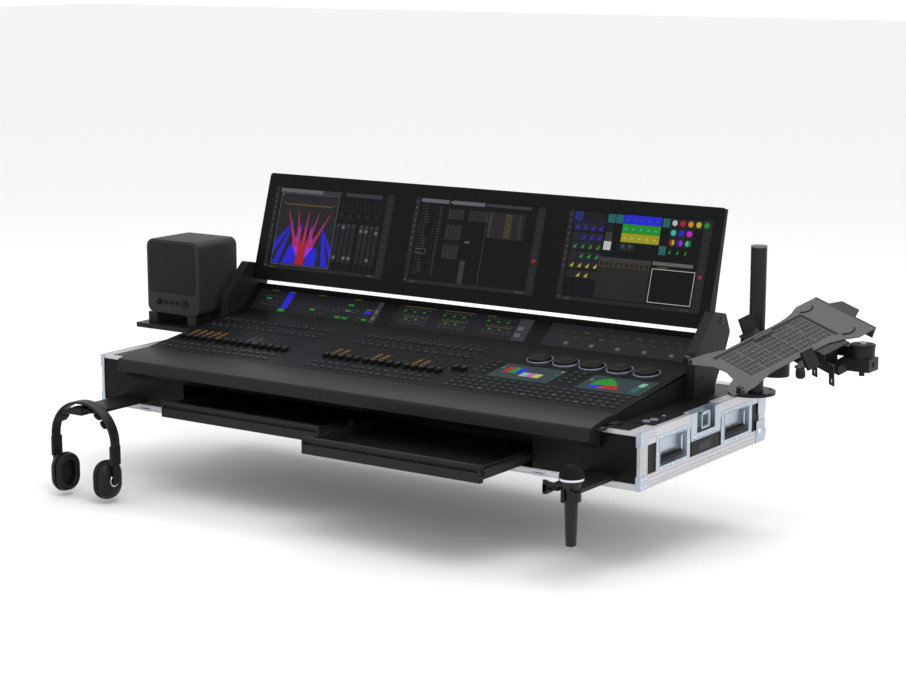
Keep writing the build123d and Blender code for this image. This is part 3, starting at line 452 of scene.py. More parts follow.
def cue_tables():
    """Middle wing display: cue sheets in dark tables."""
    g = Graphics("wing_middle", "monitor_wing", wing_face(0))
    w, h = WING_SIZE
    display_frame(g)
    g.bar("light", 17, 98, h - 11, h - 2)
    g.bar("light", 108, 200, h - 11, h - 2)
    g.bar("grey", 205, w - 40, h - 10, h - 3)
    g.bar("yellow", 104, 107, h - 8, h - 5, 0.16)
    for row in range(26):
        y = h - 21 - row * 6.6
        g.bar("grey", 24, 27, y, y + 2.2)
        g.bar("grey", 32, 46 if row % 9 in (3, 4, 5, 6) else 38, y, y + 2.2)
        g.bar("dim", 62, 66, y, y + 2.2)
        g.bar("grey", 74, 82, y, y + 2.6)
    for y0, y1 in ((h - 90, h - 60), (h - 140, h - 108)):
        g.bar("dark", 18, 29, y0, y1, 0.14)
    g.outline("light", 24, 52, h - 136, h - 124, 1.0, 0.18)
    for y0, y1 in ((h - 47, h - 22), (h - 96, h - 60), (h - 142, h - 108)):
        for column in range(4):
            x = 100 + column * 11.5
            g.bar("dim", x, x + 10.5, y0, y1)
            for row in range(int((y1 - y0) / 6)):
                g.bar("grey", x + 1, x + 9, y0 + 1.5 + row * 6, y0 + 3.5 + row * 6, 0.14)
    for column in range(6):
        x = 160 + column * 9
        g.bar("dim", x, x + 8, h - 48, h - 22)
        for row in range(4):
            g.bar("grey", x + 1, x + 7, h - 45 + row * 6, h - 43 + row * 6, 0.14)
    g.bar("light", 160, 173, h - 101, h - 97)
    g.bar("grey", 156, 170, 10, 65, 0.12)
    g.bar("grey", 212, 214, 10, h - 22, 0.12)
    g.bar("dim", 217, 318, h - 84, h - 22, 0.09)
    for row in range(11):
        y = h - 28 - row * 5.2
        g.bar("mustard", 219, 226, y, y + 2.2, 0.14)
        g.bar("mustard", 264, 282, y, y + 2.6, 0.14)
        g.bar("mustard", 304, 308, y, y + 1.8, 0.14)
    g.bar("red", w - 16, w - 8, h - 132, h - 124, 0.18)
    g.finish()


def palettes():
    """Right wing display: colour palettes and a command view."""
    g = Graphics("wing_right", "monitor_wing", wing_face(1))
    w, h = WING_SIZE
    display_frame(g)
    g.bar("navy", 16, 38, h - 24, h - 3)
    g.bar("dark", 40, 96, h - 24, h - 3)
    fans = (("blue", 0, 4), ("blue", 1, 4), ("green", 0, 4), ("green", 1, 4),
            ("yellow", 0, 4), ("yellow", 1, 3))
    for row, (colour, first, count) in enumerate(fans):
        y = h - 42 - row * 22
        for column in range(4):
            x = 18 + column * 20.5
            g.bar("dim", x, x + 19, y - 4, y + 14, 0.09)
            if first <= column < count:
                g.shape(colour, [(x + 5, y - 1), (x + 13, y - 1), (x + 15, y + 9), (x + 10, y + 5)], 0.16)
        if row % 2 == 0:
            g.bar("navy", 16, 100, y + 16, y + 17, 0.12)
    for row in range(2):
        for column in range(4):
            g.bar("grey", 26 + column * 20.5, 28 + column * 20.5, 20 + row * 18, 22 + row * 18, 0.12)
    g.bar("teal", 104, 123, h - 23, h - 3)
    g.bar("teal", 125, 144, h - 23, h - 3)
    g.bar("dark", 104, 122, h - 44, h - 26)
    g.bar("grey", 104, 122, h - 65, h - 45)
    g.bar("white", 103, 122, h - 86, h - 66)
    for row, (colour, accent) in enumerate((("blue", "teal"), ("green", "cyan"), ("olive", "lime"))):
        y1 = h - 2 - row * 21
        g.bar(colour, 145, 243, y1 - 20.5, y1)
        for column in range(5):
            x = 150 + column * 19
            g.shape(accent, [(x, y1 - 14), (x + 5, y1 - 8), (x + 10, y1 - 14), (x + 5, y1 - 12)], 0.15)
    g.bar("dim", 145, 182, h - 84, h - 67)
    g.shape("teal", [(149, h - 72), (157, h - 70), (154, h - 80)], 0.15)
    g.shape("teal", [(168, h - 70), (176, h - 72), (170, h - 80)], 0.15)
    g.bar("teal", 246, 264, h - 23, h - 3)
    g.bar("teal", 246, 264, h - 86, h - 66)
    swatches = (("white", "red", "orange", "yellow", "green"), ("cyan", "blue", "magenta"),
                ("red", "blue", "cyan"))
    for row, colours in enumerate(swatches):
        for column, colour in enumerate(colours):
            x, y = 276 + column * 20, h - 12 - row * 22
            g.bar("dim", x - 9.5, x + 9.5, y - 10, y + 10, 0.09)
            g.disc(colour, x, y, 6.6, 0.16, 14)
    for column, colour in enumerate(("yellow", "magenta", "green")):
        x, y = 276 + column * 20, h - 56
        half = [(x, y - 6.6), (x + 4.7, y - 4.7), (x + 6.6, y), (x + 4.7, y + 4.7), (x, y + 6.6)]
        g.shape(colour, half, 0.24)
    for column in range(3):
        x = 270 + column * 20
        g.shape("green", [(x, h - 82), (x + 6, h - 82), (x + 5, h - 72)], 0.16)
    g.bar("grey", 98, 232, h - 110, h - 102)
    g.bar("dim", 98, 232, 12, h - 110, 0.06)
    for column in range(10):
        g.outline("mustard", 99 + column * 13.2, 111 + column * 13.2, h - 124, h - 111, 1.0, 0.14)
    g.bar("light", 236, 338, h - 110, h - 102)
    g.bar("mustard", 250, 274, h - 116, h - 113, 0.14)
    g.outline("white", 237, 346, 14, h - 118, 1.4, 0.18)
    g.bar("red", w - 16, w - 8, h - 132, h - 124, 0.18)
    g.finish()


def letterboxes():
    """The three long displays of the strip."""
    w, h = STRIP_SIZE
    g = Graphics("strip_left", "case", strip_face(-1))
    g.bar("dark", 4, w - 4, 3, h - 3)
    g.bar("blue", 96, 116, 16, h - 6, 0.16)
    g.bar("green", 92, 112, 5, 14, 0.16)
    for x in (40, 96, 190, 300):
        g.bar("mustard", x, x + 22, h - 6, h - 3, 0.14)
    for x, y in ((38, 40), (186, 20), (292, 48), (292, 30), (272, 6), (294, 6), (352, 8)):
        g.bar("green", x, x + 16, y, y + 5, 0.16)
    g.bar("blue", 350, 368, 28, 38, 0.16)
    g.bar("mustard", 350, 372, 40, 44, 0.16)
    for x in range(28, 80, 11):
        for y in (22, 32, 50):
            g.bar("grey", x, x + 8, y, y + 3, 0.14)
    for x in range(170, 345, 12):
        for y in (12, 26, 34):
            g.bar("dim" if (x + y) % 5 else "grey", x, x + 9, y, y + 4, 0.14)
    g.bar("grey", w - 20, w - 4, 4, h - 4, 0.12)
    for y in (14, 34):
        g.bar("light", w - 17, w - 8, y, y + 10, 0.18)
    g.finish()

    g = Graphics("strip_middle", "case", strip_face(0))
    g.bar("dark", 4, w - 4, 3, h - 3)
    for x0 in (20, 135, 260):
        g.bar("mustard", x0, x0 + (92 if x0 < 200 else 24), h - 7, h - 4.5, 0.14)
        g.bar("mustard", x0 + 10, x0 + 80, h - 38, h - 36, 0.14)
        for column in range(6):
            x = x0 + 4 + column * 14
            for y in (h - 15, h - 34, h - 50, h - 58):
                g.bar("grey", x, x + 9, y, y + 3.5, 0.14)
            if column in (0, 2, 4):
                g.bar("green", x, x + 8, h - 22, h - 19, 0.16)
            if column in (1, 3):
                g.bar("green", x, x + 8, h - 45, h - 42, 0.16)
    g.bar("grey", w - 44, w - 8, 4, h - 4, 0.12)
    for y in (16, 36):
        g.bar("light", w - 40, w - 24, y, y + 10, 0.18)
    g.finish()

    g = Graphics("strip_right", "case", strip_face(1))
    g.bar("dim", 4, w - 4, 3, h - 3, 0.06)
    for i, x in enumerate(range(30, 370, 34)):
        colour = "mustard" if i in (2, 6) else "grey"
        g.bar(colour, x, x + 14, 50, 53, 0.14)
        g.bar("mustard" if i == 3 else "grey", x + 12, x + 24, 34, 37, 0.14)
    for x in ENCODER_X:
        centre = x - DISPLAY_PITCH + w / 2
        g.disc("grey", centre, 16, 8, 0.12, 20, 0.8)
        g.disc("light", centre, 16, 5, 0.16, 16, 0.8)
    g.bar("grey", w - 26, w - 10, 14, 44, 0.12)
    g.disc("green", w - 8, h - 10, 3, 0.18)
    g.finish()


def touch_pages():
    """Colour pages of the two small screens."""
    (ax, bx), (y0, y1) = TOUCH_LEFT, TOUCH_Y
    g = Graphics("touch_left", "case", SURFACE @ at(ax, y0, 0.42))
    w, h = bx - ax, y1 - y0
    g.bar("slate", 2, w - 2, 2, h - 2, 0.08)
    g.outline("teal", 2, w - 2, 2, h - 2, 1.2, 0.12)
    g.bar("grey", 6, w - 6, h - 14, h - 7, 0.12)
    for i, colour in enumerate(("red", "green", "blue")):
        g.bar(colour, 20 + i * 16, 35 + i * 16, 38, h - 20, 0.16)
    for i, colour in enumerate(("mint", "pink", "lime")):
        g.bar(colour, 70 + i * 17, 87 + i * 17, 26, 52, 0.2)
    for i, colour in enumerate(("red", "green", "cyan")):
        g.disc(colour, 8, h - 22 - i * 5, 2.2, 0.2, 8)
    g.bar("yellow", w - 12, w - 6, h - 14, h - 8, 0.16)
    g.bar("green", w - 14, w - 8, h - 36, h - 30, 0.16)
    for i in range(6):
        g.bar("grey", 16 + i * 23, 26 + i * 23, 6, 9, 0.14)
    g.finish()

    (ax, bx) = TOUCH_RIGHT
    g = Graphics("touch_right", "case", SURFACE @ at(ax, y0, 0.42))
    w = bx - ax
    g.bar("slate", 2, w - 2, 2, h - 2, 0.08)
    g.outline("teal", 2, w - 2, 2, h - 2, 1.2, 0.12)
    g.shape("green", [(24, 32), (22, 52), (32, 76), (50, 84), (66, 70), (84, 44)], 0.14)
    g.shape("red", [(50, 18), (60, 40), (84, 44), (98, 18)], 0.18)
    g.shape("blue", [(24, 18), (50, 18), (46, 32), (24, 33)], 0.18)
    g.shape("magenta", [(44, 18), (60, 18), (56, 30)], 0.22)
    for i, colour in enumerate(("cyan", "yellow", "red")):
        g.disc(colour, 10, 66 - i * 5, 2.2, 0.2, 8)
    for i in range(8):
        g.bar("mint" if i > 4 else "teal", w - 34, w - 20, 16 + i * 8, 23.8 + i * 8, 0.14)
    g.bar("green", w - 14, w - 8, 60, 66, 0.16)
    g.finish()


# ---------------------------------------------------------------- control surface
def keycap(bm, x, y):
    """One keycap with a dished top and its shank in the sheet."""
    here = SURFACE @ at(x, y, 0)
    box(bm, here, (-7, 7), (-5, 5), (-4, 0.6))
    box(bm, here, (-6.9, 6.9), (-4.9, 4.9), (0.6, 3), 0.80)


def key_details():
    """Playback and command keycaps with their legends."""
    bm, marks = bmesh.new(), bmesh.new()
    for x in COLUMNS:
        for y in KEY_ROWS:
            keycap(bm, x, y)
            box(marks, SURFACE @ at(x, y, 0), (-2.4, 2.4), (-0.7, 0.7), (2.95, 3.08))
    piece("playback_caps", bm, "playback_keys", KEYCAP, 0.5, stands_for=("playback_keys",))
    piece("playback_legends", marks, "playback_keys", MARK)

    bm, marks = bmesh.new(), bmesh.new()
    places = [(202.0 + i * KEY_PITCH, y) for i in range(20) for y in (-124.0, -146.0, -168.0, -190.0)]
    places += [(x, -14.0 - j * KEY_PITCH) for x in (206.0, 228.0, 428.0, 450.0) for j in range(4)]
    for index, (x, y) in enumerate(places):
        keycap(bm, x, y)
        if index % 17 != 5:
            box(marks, SURFACE @ at(x, y, 0), (-2.6, 2.6), (-0.8, 0.8), (2.95, 3.08))
    piece("command_caps", bm, "command_keys", KEYCAP, 0.5, stands_for=("command_keys",))
    piece("command_legends", marks, "command_keys", MARK)
    g = Graphics("lit_keys", "command_keys", SURFACE @ at(0, 0, 3.0), "key_grey")
    for x, y in ((290.0, -190.0), (400.0, -190.0), (466.0, -168.0), (532.0, -190.0)):
        g.bar("light", x - 5, x + 5, y - 2.6, y + 2.6, 0.15)
    g.finish()


def indicators():
    """Lamps beside the keys and the lit edges of the fader slots."""
    g = Graphics("indicator", "case", SURFACE, "panel_black")
    for index, x in enumerate(COLUMNS):
        bank = index // BANK_TRACKS
        g.disc("red" if index == 0 else "led", x, 77, 1.5, 0.5, 8)
        g.disc("amber" if bank in (3, 4) else "led", x, 62, 1.5, 0.5, 8)
        g.disc("led", x, 27, 1.5, 0.5, 8)
        g.disc("led", x + 8, 12, 1.1, 0.5, 8)
    for index, x in enumerate(COLUMNS + list(MASTER_X)):
        bank, place = divmod(index, BANK_TRACKS)
        colour = "dim"
        if bank == 0 or (bank in (3, 4, 5) and place < 2):
            colour = "amber"
        elif bank == 1 and place > 2:
            colour = "lavender"
        low, high = (-98, -14) if x in MASTER_X else (-112, -56)
        for side in (-1, 1):
            a, b = sorted((x + side * 1.55, x + side * 3.5))
            g.bar(colour, a, b, low, high, 0.25)
    for x in ENCODER_X:
        g.bar("grey", x - 22, x + 4, 78, 80, 0.15)
        g.bar("grey", x - 6, x + 24, 74, 76, 0.15)
    g.finish()


def encoder_details():
    """Collars and dials of the five encoders."""
    bm = bmesh.new()
    for x in ENCODER_X:
        here = SURFACE @ at(x, ENCODER_Y, 0)
        sides = 64
        rings = [(31.2, 0.05), (31.2, 2.6), (30.4, 3.25), (28.2, 3.25), (27.4, 2.8), (27.4, 0.05)]
        loops = [[bm.verts.new(here @ Vector((r * cos(2 * pi * i / sides), r * sin(2 * pi * i / sides), z)))
                  for i in range(sides)] for r, z in rings]
        for a, b in zip(loops, loops[1:] + loops[:1]):
            for i in range(sides):
                j = (i + 1) % sides
                bm.faces.new((a[i], a[j], b[j], b[i]))
    piece("encoder_collars", bm, "case", COLLAR)

    for number, x in enumerate(ENCODER_X, start=1):
        here = SURFACE @ at(x, ENCODER_Y, 0)
        bm = bmesh.new()
        lathe(bm, here, [(3, -13), (3, 0.5), (24.6, 0.5), (25, 1)], 64)
        crown = [(25, 0.9), (25, 7.4), (24.4, 8.6), (23, 9), (14.2, 9), (13.6, 10.2), (0, 10.4)]
        lathe(bm, here, crown, 96, 48, 0.25)
        finger = here @ at(11, 15, 0)
        lathe(bm, finger, [(6.0, 8.6), (5.4, 10.0), (4.0, 9.6), (0, 9.3)], 24)
        piece(f"encoder_dial_{number}", bm, f"encoder_{number}", CAP,
              stands_for=(f"encoder_knob_{number}",))


def fader_details():
    """Caps of the three fader groups, with their stems and centre lines."""
    for name, xs, y in (("faders_left", COLUMNS[:15], FADER_Y), ("faders_centre", COLUMNS[15:], FADER_Y),
                        ("faders_master", MASTER_X, MASTER_Y)):
        caps, lines = bmesh.new(), bmesh.new()
        for x in xs:
            here = SURFACE @ at(x, y, 0)
            outline = [(-10, 0.6), (10, 0.6), (10, 8.4), (8.6, 9.6), (5.6, 8.2), (2.4, 7.0), (-2.4, 7.0),
                       (-5.6, 8.2), (-8.6, 9.6), (-10, 8.4)]
            turned = here @ Matrix(((0, 0, 1, 0), (1, 0, 0, 0), (0, 1, 0, 0), (0, 0, 0, 1)))
            prism(caps, turned, outline, -5.5, 5.5)
            box(caps, here, (-0.8, 0.8), (-3, 3), (-10, 1))
            box(lines, here, (-5.0, 5.0), (-0.5, 0.5), (6.9, 7.12))
        piece(f"{name}_caps", caps, name, CAP, 0.4, stands_for=(name,))
        piece(f"{name}_lines", lines, name, MARK)


# ---------------------------------------------------------------- flight case
def case_ribs():
    """Ribs of the aluminium sections."""
    bm = bmesh.new()
    for side in (-1, 1):
        out = flank(side, -0.3, 1.0)
        for z in (5.0, 12.0, 22.0, 28.6):
            box(bm, WORLD, out, (-CASE_Y + 31, CASE_Y - 44), (z - 0.9, z + 0.9))
        for z in (105.5, 112.0, 119.6):
            for y0, y1 in ((-CASE_Y + 31, -216), (-68, -66.6), (216, CASE_Y - 38)):
                box(bm, WORLD, out, (y0, y1), (z - 0.8, z + 0.8))
        for y in (-272.0, -264.0, -253.0):
            box(bm, WORLD, out, (y - 0.8, y + 0.8), (31, 91))
        for inset in (1.2, 8.0, 20.0, 28.6):
            x = side * (CASE_X - inset)
            for y0, y1 in ((-CASE_Y + 8, -68), (68, CASE_Y - 2)):
                box(bm, WORLD, (x - 0.8, x + 0.8), (y0, y1), (CASE_H - 0.2, CASE_H + 0.9))
    for z in (3.0, 11.6):
        box(bm, WORLD, (-CASE_X + 12, CASE_X - 12), (-CASE_Y - 0.9, -CASE_Y + 0.2), (z - 0.8, z + 0.8))
    for z in (5.0, 14.0, 26.0, 96.0, 108.0, 118.0):
        box(bm, WORLD, (-CASE_X + 44, CASE_X - 44), (CASE_Y - 0.2, CASE_Y + 0.9), (z - 0.9, z + 0.9))
    piece("extrusion_ribs", bm, "case", ANODISED, 0.4)


def rivet_heads():
    """Domed rivets of the dishes and the corner fittings."""
    bm = bmesh.new()
    dome = [(3.2, -0.2), (3.2, 0.3), (2.6, 0.9), (1.4, 1.3), (0, 1.4)]
    heads = []
    for middle in (142, -142):
        for dy in (-50, 0, 50):
            heads += [(middle + dy, 32, 0.5), (middle + dy, 98, 0.5)]
        heads += [(middle - 66, 65, 0.5), (middle + 66, 65, 0.5)]
    heads += [(dy, 69, 0.5) for dy in (-50, -18, 18, 50)]
    heads += [(-CASE_Y + a, b, 1.2) for a in (7, 23) for b in (7, 23)]
    for side in (-1, 1):
        for y, z, proud in heads:
            lathe(bm, sideways(side * (CASE_X + proud), y, z, side), dome, 20)
    piece("rivet_heads", bm, "case", RIVET, stands_for=("case_rivets",))


def case_fittings():
    """Pressed rims, latch keepers, front clips, latch panels and label plates."""
    bm = bmesh.new()
    for middle in (142, -142):
        for side in (-1, 1):
            face = flank(side, 0.45, 1.5)
            for z in (36.0, 94.0):
                box(bm, WORLD, face, (middle - 58, middle + 58), (z - 1.0, z + 1.0))
            for y in (middle - 58, middle + 58):
                box(bm, WORLD, face, (y - 1.0, y + 1.0), (35, 95))
    for side in (-1, 1):
        keeper = flank(side, -8.8, 0.2)
        for a, b in ((-19, -15.5), (15.5, 19)):
            box(bm, WORLD, keeper, (a, b), (82, 117))
        for a, b in ((81, 84.5), (113.5, 117)):
            box(bm, WORLD, keeper, (-19, 19), (a, b))
        box(bm, WORLD, flank(side, 0.4, 1.6), (-LATCH + 2, LATCH - 2), (63, 65))
    for x in (-600.0, 500.0, 585.0):
        box(bm, WORLD, (x - 16, x + 16), (-CASE_Y - 1.6, -CASE_Y + 14), (-0.6, 6.5))
        box(bm, WORLD, (x - 9, x + 9), (-CASE_Y - 4.5, -CASE_Y - 1.2), (0.5, 5.5))
    piece("pressed_rims", bm, "case", ZINC, 0.5)

    bm = bmesh.new()
    for side in (-1, 1):
        box(bm, WORLD, flank(side, -2.3, -0.6), (-62, 62), (31, 60))
    piece("latch_panels", bm, "case", BOARD, 0.6)
    bm = bmesh.new()
    for side in (-1, 1):
        box(bm, WORLD, flank(side, -0.7, 0.0), (-30, 24), (36, 52))
    piece("label_plates", bm, "case", LABEL, 0.8)


def case_handles():
    """Ribbed grip and wire bail of the four sprung handles."""
    for side_name, side in (("left", -1), ("right", 1)):
        for end_name, middle in (("front", -142.0), ("rear", 142.0)):
            x = side * (CASE_X - 8)
            grip, bail = bmesh.new(), bmesh.new()
            points = [Vector((x, middle - 46 + i * 2.3, 48)) for i in range(41)]
            tube(grip, points, 6.5, 20, 2, 0.7)
            for end in (-1, 1):
                y = middle + end * 50
                bends = ((-8, 48), (-1.5, 48), (0, 49.5), (0, 56), (0, 80), (1.0, 82), (7, 82))
                tube(bail, [Vector((x, y + end * out, z)) for out, z in bends], 2.45, 14)
            name = f"handle_{side_name}_{end_name}"
            piece(f"{name}_grip", grip, name, RUBBER, stands_for=(name,))
            piece(f"{name}_bail", bail, name, ZINC)


def deck_details():
    """Connector plates and sockets on the deck, and the release lever."""
    bm = bmesh.new()
    box(bm, WORLD, (676, 728), (-205, -70), (CASE_H, CASE_H + 1.4))
    box(bm, WORLD, (676, 706), (-10, 120), (CASE_H, CASE_H + 1.4))
    piece("connector_plates", bm, "case", PANEL, 0.5)
    bm = bmesh.new()
    for y, x, r in ((-182, 698, 9), (-160, 704, 9), (-118, 704, 4)):
        rim = [(r, 0), (r, 1.6), (r - 1.5, 2.6), (r - 3, 2.6), (r - 3, 1.0), (0, 1.0)]
        lathe(bm, at(x, y, CASE_H + 1.3), rim, 28)
    piece("deck_sockets", bm, "case", CONNECTOR)
    bm = bmesh.new()
    lever = [Vector((652 + i * 2.8, -300 + i * 9 - 0.25 * i * i, 118 + 9 * sin(pi * i / 8) * 0.5))
             for i in range(9)]
    tube(bm, lever, 3.0, 12)
    box(bm, WORLD, (648, 668), (-260, -228), (CASE_H, CASE_H + 6))
    piece("release_lever", bm, "case", ARM, 0.4)


def drawer_details():
    """Screw heads of the drawer rails and the trim round each drawer front."""
    for name, front_y, side in (("drawer_left", -362.0, -1), ("drawer_right", -461.0, 1)):
        bm = bmesh.new()
        for edge in (15.6 - 3.2, 474.3 + 3.3):
            facing = side if edge > 100 else -side
            for dy in (20, 30, 40, 66):
                here = sideways(side * edge, front_y + dy, 35, facing)
                lathe(bm, here, [(2.6, -0.2), (2.6, 0.25), (2.0, 0.36), (0, 0.36)], 16)
        piece(f"{name}_rail_screws", bm, name, RAIL)
        bm = bmesh.new()
        a, b = sorted((side * 15.6, side * 474.3))
        box(bm, WORLD, (a, b), (front_y - 0.4, front_y + 2.5), (50.0, 53.3))
        box(bm, WORLD, (a, b), (front_y - 0.4, front_y + 2.5), (16.8, 19.0))
        for x0, x1 in ((a, a + 5), (b - 5, b)):
            box(bm, WORLD, (x0, x1), (front_y - 0.5, front_y + 2.5), (17, 53))
        piece(f"{name}_front_trim", bm, name, DRAWER, 0.5)


# ---------------------------------------------------------------- wing, cheeks and strip
def wing_details():
    """Display bezels, vents of the wing and the rear wall, and the screws of the cheeks."""
    bm = bmesh.new()
    for i in (-1, 0, 1):
        x0, x1 = i * DISPLAY_PITCH - WING_SIZE[0] / 2, i * DISPLAY_PITCH + WING_SIZE[0] / 2
        for y0, y1 in ((-1.6, 0.0), (WING_SIZE[1], WING_SIZE[1] + 1.6)):
            box(bm, WING, (x0 - 1.6, x1 + 1.6), (y0, y1), (-0.1, 0.35))
        for a, b in ((x0 - 1.6, x0), (x1, x1 + 1.6)):
            box(bm, WING, (a, b), (0, WING_SIZE[1]), (-0.1, 0.35))
    piece("display_bezels", bm, "monitor_wing", PANEL, 0.2)
    bm = bmesh.new()
    for i in range(26):
        x = -560 + i * 44.8
        box(bm, WING, (x, x + 30), (236.5, 240.4), (-7.0, -5.8))
    slope = WING @ at(0, -20, -31) @ Matrix.Rotation(atan2(19, 259), 4, "X")
    for side in (-1, 1):
        for i in range(12):
            x = side * (250 + i * 14)
            box(bm, slope, (x - 3, x + 3), (80, 165), (-0.9, 0.6))
    piece("wing_vents", bm, "monitor_wing", ARM, 0.3)
    bm = bmesh.new()
    for side in (-1, 1):
        cap = [(9, -0.5), (9, 0.4), (8.2, 1.0), (4.4, 1.0), (4.0, 0.3), (0, 0.3)]
        lathe(bm, sideways(side * CHEEK_X, *WING_PIVOT, side), cap, 36)
        lathe(bm, sideways(side * CHEEK_X, 120, 160, side), [(4.5, -0.5), (4.5, 0.3), (3.8, 0.8), (0, 0.9)], 24)
    piece("cheek_screws", bm, "case", ARM)
    bm = bmesh.new()
    for i in range(28):
        x = -560 + i * 41.4
        box(bm, WORLD, (x, x + 28), (170.0, 173.6), (126.5, 129.5))
    piece("rear_vents", bm, "case", BOARD, 0.3)


# ---------------------------------------------------------------- loudspeaker
def rounded(x0, x1, z0, z1, radius, steps=8):
    """A rounded rectangle as (x, z) points."""
    points = []
    for cx, cz, start in ((x1 - radius, z0 + radius, -90), (x1 - radius, z1 - radius, 0),
                          (x0 + radius, z1 - radius, 90), (x0 + radius, z0 + radius, 180)):
        for i in range(steps + 1):
            turn = radians(start + 90 * i / steps)
            points.append((cx + radius * cos(turn), cz + radius * sin(turn)))
    return points


def lofted(bm, frame_at, outlines):
    """Skins a stack of (outline, depth) sections, closed at both ends."""
    loops = [[bm.verts.new(frame_at @ Vector((a, b, depth))) for a, b in outline]
             for outline, depth in outlines]
    count = len(loops[0])
    for a, b in zip(loops, loops[1:]):
        for i in range(count):
            j = (i + 1) % count
            bm.faces.new((a[i], a[j], b[j], b[i]))
    bm.faces.new(loops[0][::-1])
    bm.faces.new(loops[-1])


# local x, y, z become world x, z, -y
FACING = Matrix(((1, 0, 0, 0), (0, 0, -1, 0), (0, 1, 0, 0), (0, 0, 0, 1)))


def speaker_details():
    """Cabinet shell, grille, sockets, volume knob and the ribs under the cabinet."""
    (x0, x1), (y0, y1), (z0, z1) = SPEAKER_X, SPEAKER_Y, SPEAKER_Z
    bm = bmesh.new()
    sections = []
    for inset, y in ((3.5, y0 + 0.2), (1.2, y0 + 1.2), (0.2, y0 + 4.0), (0, y0 + 8), (0, y1 - 8), (0.8, y1 - 3),
                     (3.0, y1 - 0.2)):
        sections.append((rounded(x0 + inset, x1 - inset, z0 + inset, z1 - inset, 20 - inset), -y))
    lofted(bm, FACING, sections)
    piece("speaker_shell", bm, "case", SPEAKER,
          stands_for=("speaker_cabinet", "speaker_baffle"))
    bm = bmesh.new()
    gx0, gx1, gz0, gz1 = x0 + 9, x1 - 13, 224.0, 350.0
    edge = rounded(gx0, gx1, gz0, gz1, 13)
    face = rounded(gx0 + 1.2, gx1 - 1.2, gz0 + 1.2, gz1 - 1.2, 12)
    lofted(bm, FACING, [(edge, -(y0 + 1.5)), (edge, -(y0 - 0.6)), (face, -(y0 - 1.6))])
    piece("speaker_grille", bm, "case", GRILLE)
    bm = bmesh.new()
    button = [(6.5, 0), (6.5, 1.4), (5.3, 2.0), (3.9, 2.0), (3.9, 0.6), (0, 0.6)]
    for x in (-800, -782, -764):
        lathe(bm, FACING @ at(x, 200, -(y0 + 0.3)), button, 28)
    socket = [(12, 0), (12, 1.2), (11, 2.0), (9.2, 2.0), (8.6, 1.0), (5.5, 1.0), (5.0, 3.2), (3.2, 3.6),
              (0, 3.4)]
    lathe(bm, FACING @ at(-738, 200, -(y0 + 0.3)), socket, 40)
    lathe(bm, FACING @ at(-736, 180, -(y0 + 0.3)), [(1.8, 0), (1.8, 0.8), (0, 1.1)], 16)
    piece("speaker_sockets", bm, "case", CAP)
    bm = bmesh.new()
    knob = [(8, 0), (8, 1.0), (7.2, 2.0), (6.6, 7.4), (5.6, 8.6), (0, 8.6)]
    lathe(bm, FACING @ at(-823, 200, -20.6), knob, 72, 18, 0.5)
    lathe(bm, FACING @ at(-823, 200, -27), [(2, 0), (2, 6.5)], 16)
    piece("speaker_volume", bm, "speaker_knob", CAP, stands_for=("speaker_knob",))
    bm = bmesh.new()
    for x in (-850, -720):
        for i in range(12):
            y = 27 + i * 11.8
            box(bm, WORLD, (x - 14.6, x + 14.6), (y, y + 7), (146, 167))
    piece("isolation_ribs", bm, "case", RUBBER, 1.2)


# ---------------------------------------------------------------- pole, arm and tray
def arm_details():
    """Caps, covers, screws and plugs of the pole, its foot and the arm."""
    bm = bmesh.new()
    lathe(bm, at(*POLE, POLE_TOP - 4), [(17.2, 0), (17.6, 0.4), (17.6, 3.2), (16.6, 4.3), (0, 4.6)], 48)
    piece("pole_end_cap", bm, "case", POLE_CAP)
    bm = bmesh.new()
    lathe(bm, at(*FOOT, CASE_H + 6.8), [(50.6, 0), (50.2, 0.8), (36, 1.2)], 72)
    for turn in range(3):
        angle = radians(120 * turn + 165)
        head = at(FOOT[0] + 43 * cos(angle), FOOT[1] + 43 * sin(angle), CASE_H + 7.6)
        lathe(bm, head, [(4, 0), (4, 0.8), (3, 1.6), (0, 1.7)], 20)
    piece("foot_screws", bm, "case", ARM)
    bm = bmesh.new()
    lathe(bm, at(*HUB, 262), [(29, -0.4), (28, 1.2), (12, 1.6), (9, 3.6), (0, 3.8)], 48)
    piece("hub_cover", bm, "arm_lower", ARM)
    bm = bmesh.new()
    lathe(bm, at(*ELBOW, 267), [(26.4, -0.4), (25.5, 1.0), (9, 1.2)], 48)
    piece("elbow_cover", bm, "arm_upper", ARM)
    bm = bmesh.new()
    lathe(bm, at(*ELBOW, 268), [(7.5, 0), (7.5, 2.6), (6.2, 3.8), (2.4, 3.8), (2.0, 2.4), (0, 2.4)], 32)
    piece("elbow_screw", bm, "arm_upper", CHROME)
    bm = bmesh.new()
    for x, facing in ((985, -1), (1048, 1)):
        lathe(bm, sideways(x, ELBOW[1], 226, facing),
              [(6.5, -0.3), (6.5, 1.0), (5.5, 1.6), (3.0, 1.6), (2.8, 0.4), (0, 0.4)], 28)
    for dx in (-8, 24):
        lathe(bm, at(998 + dx, 127.9, 226) @ Matrix.Rotation(radians(90), 4, "X"),
              [(5.5, -0.3), (5.5, 0.8), (4.6, 1.4), (2.4, 1.4), (2.2, 0.4), (0, 0.4)], 28)
    piece("elbow_plugs", bm, "arm_upper", CAP)


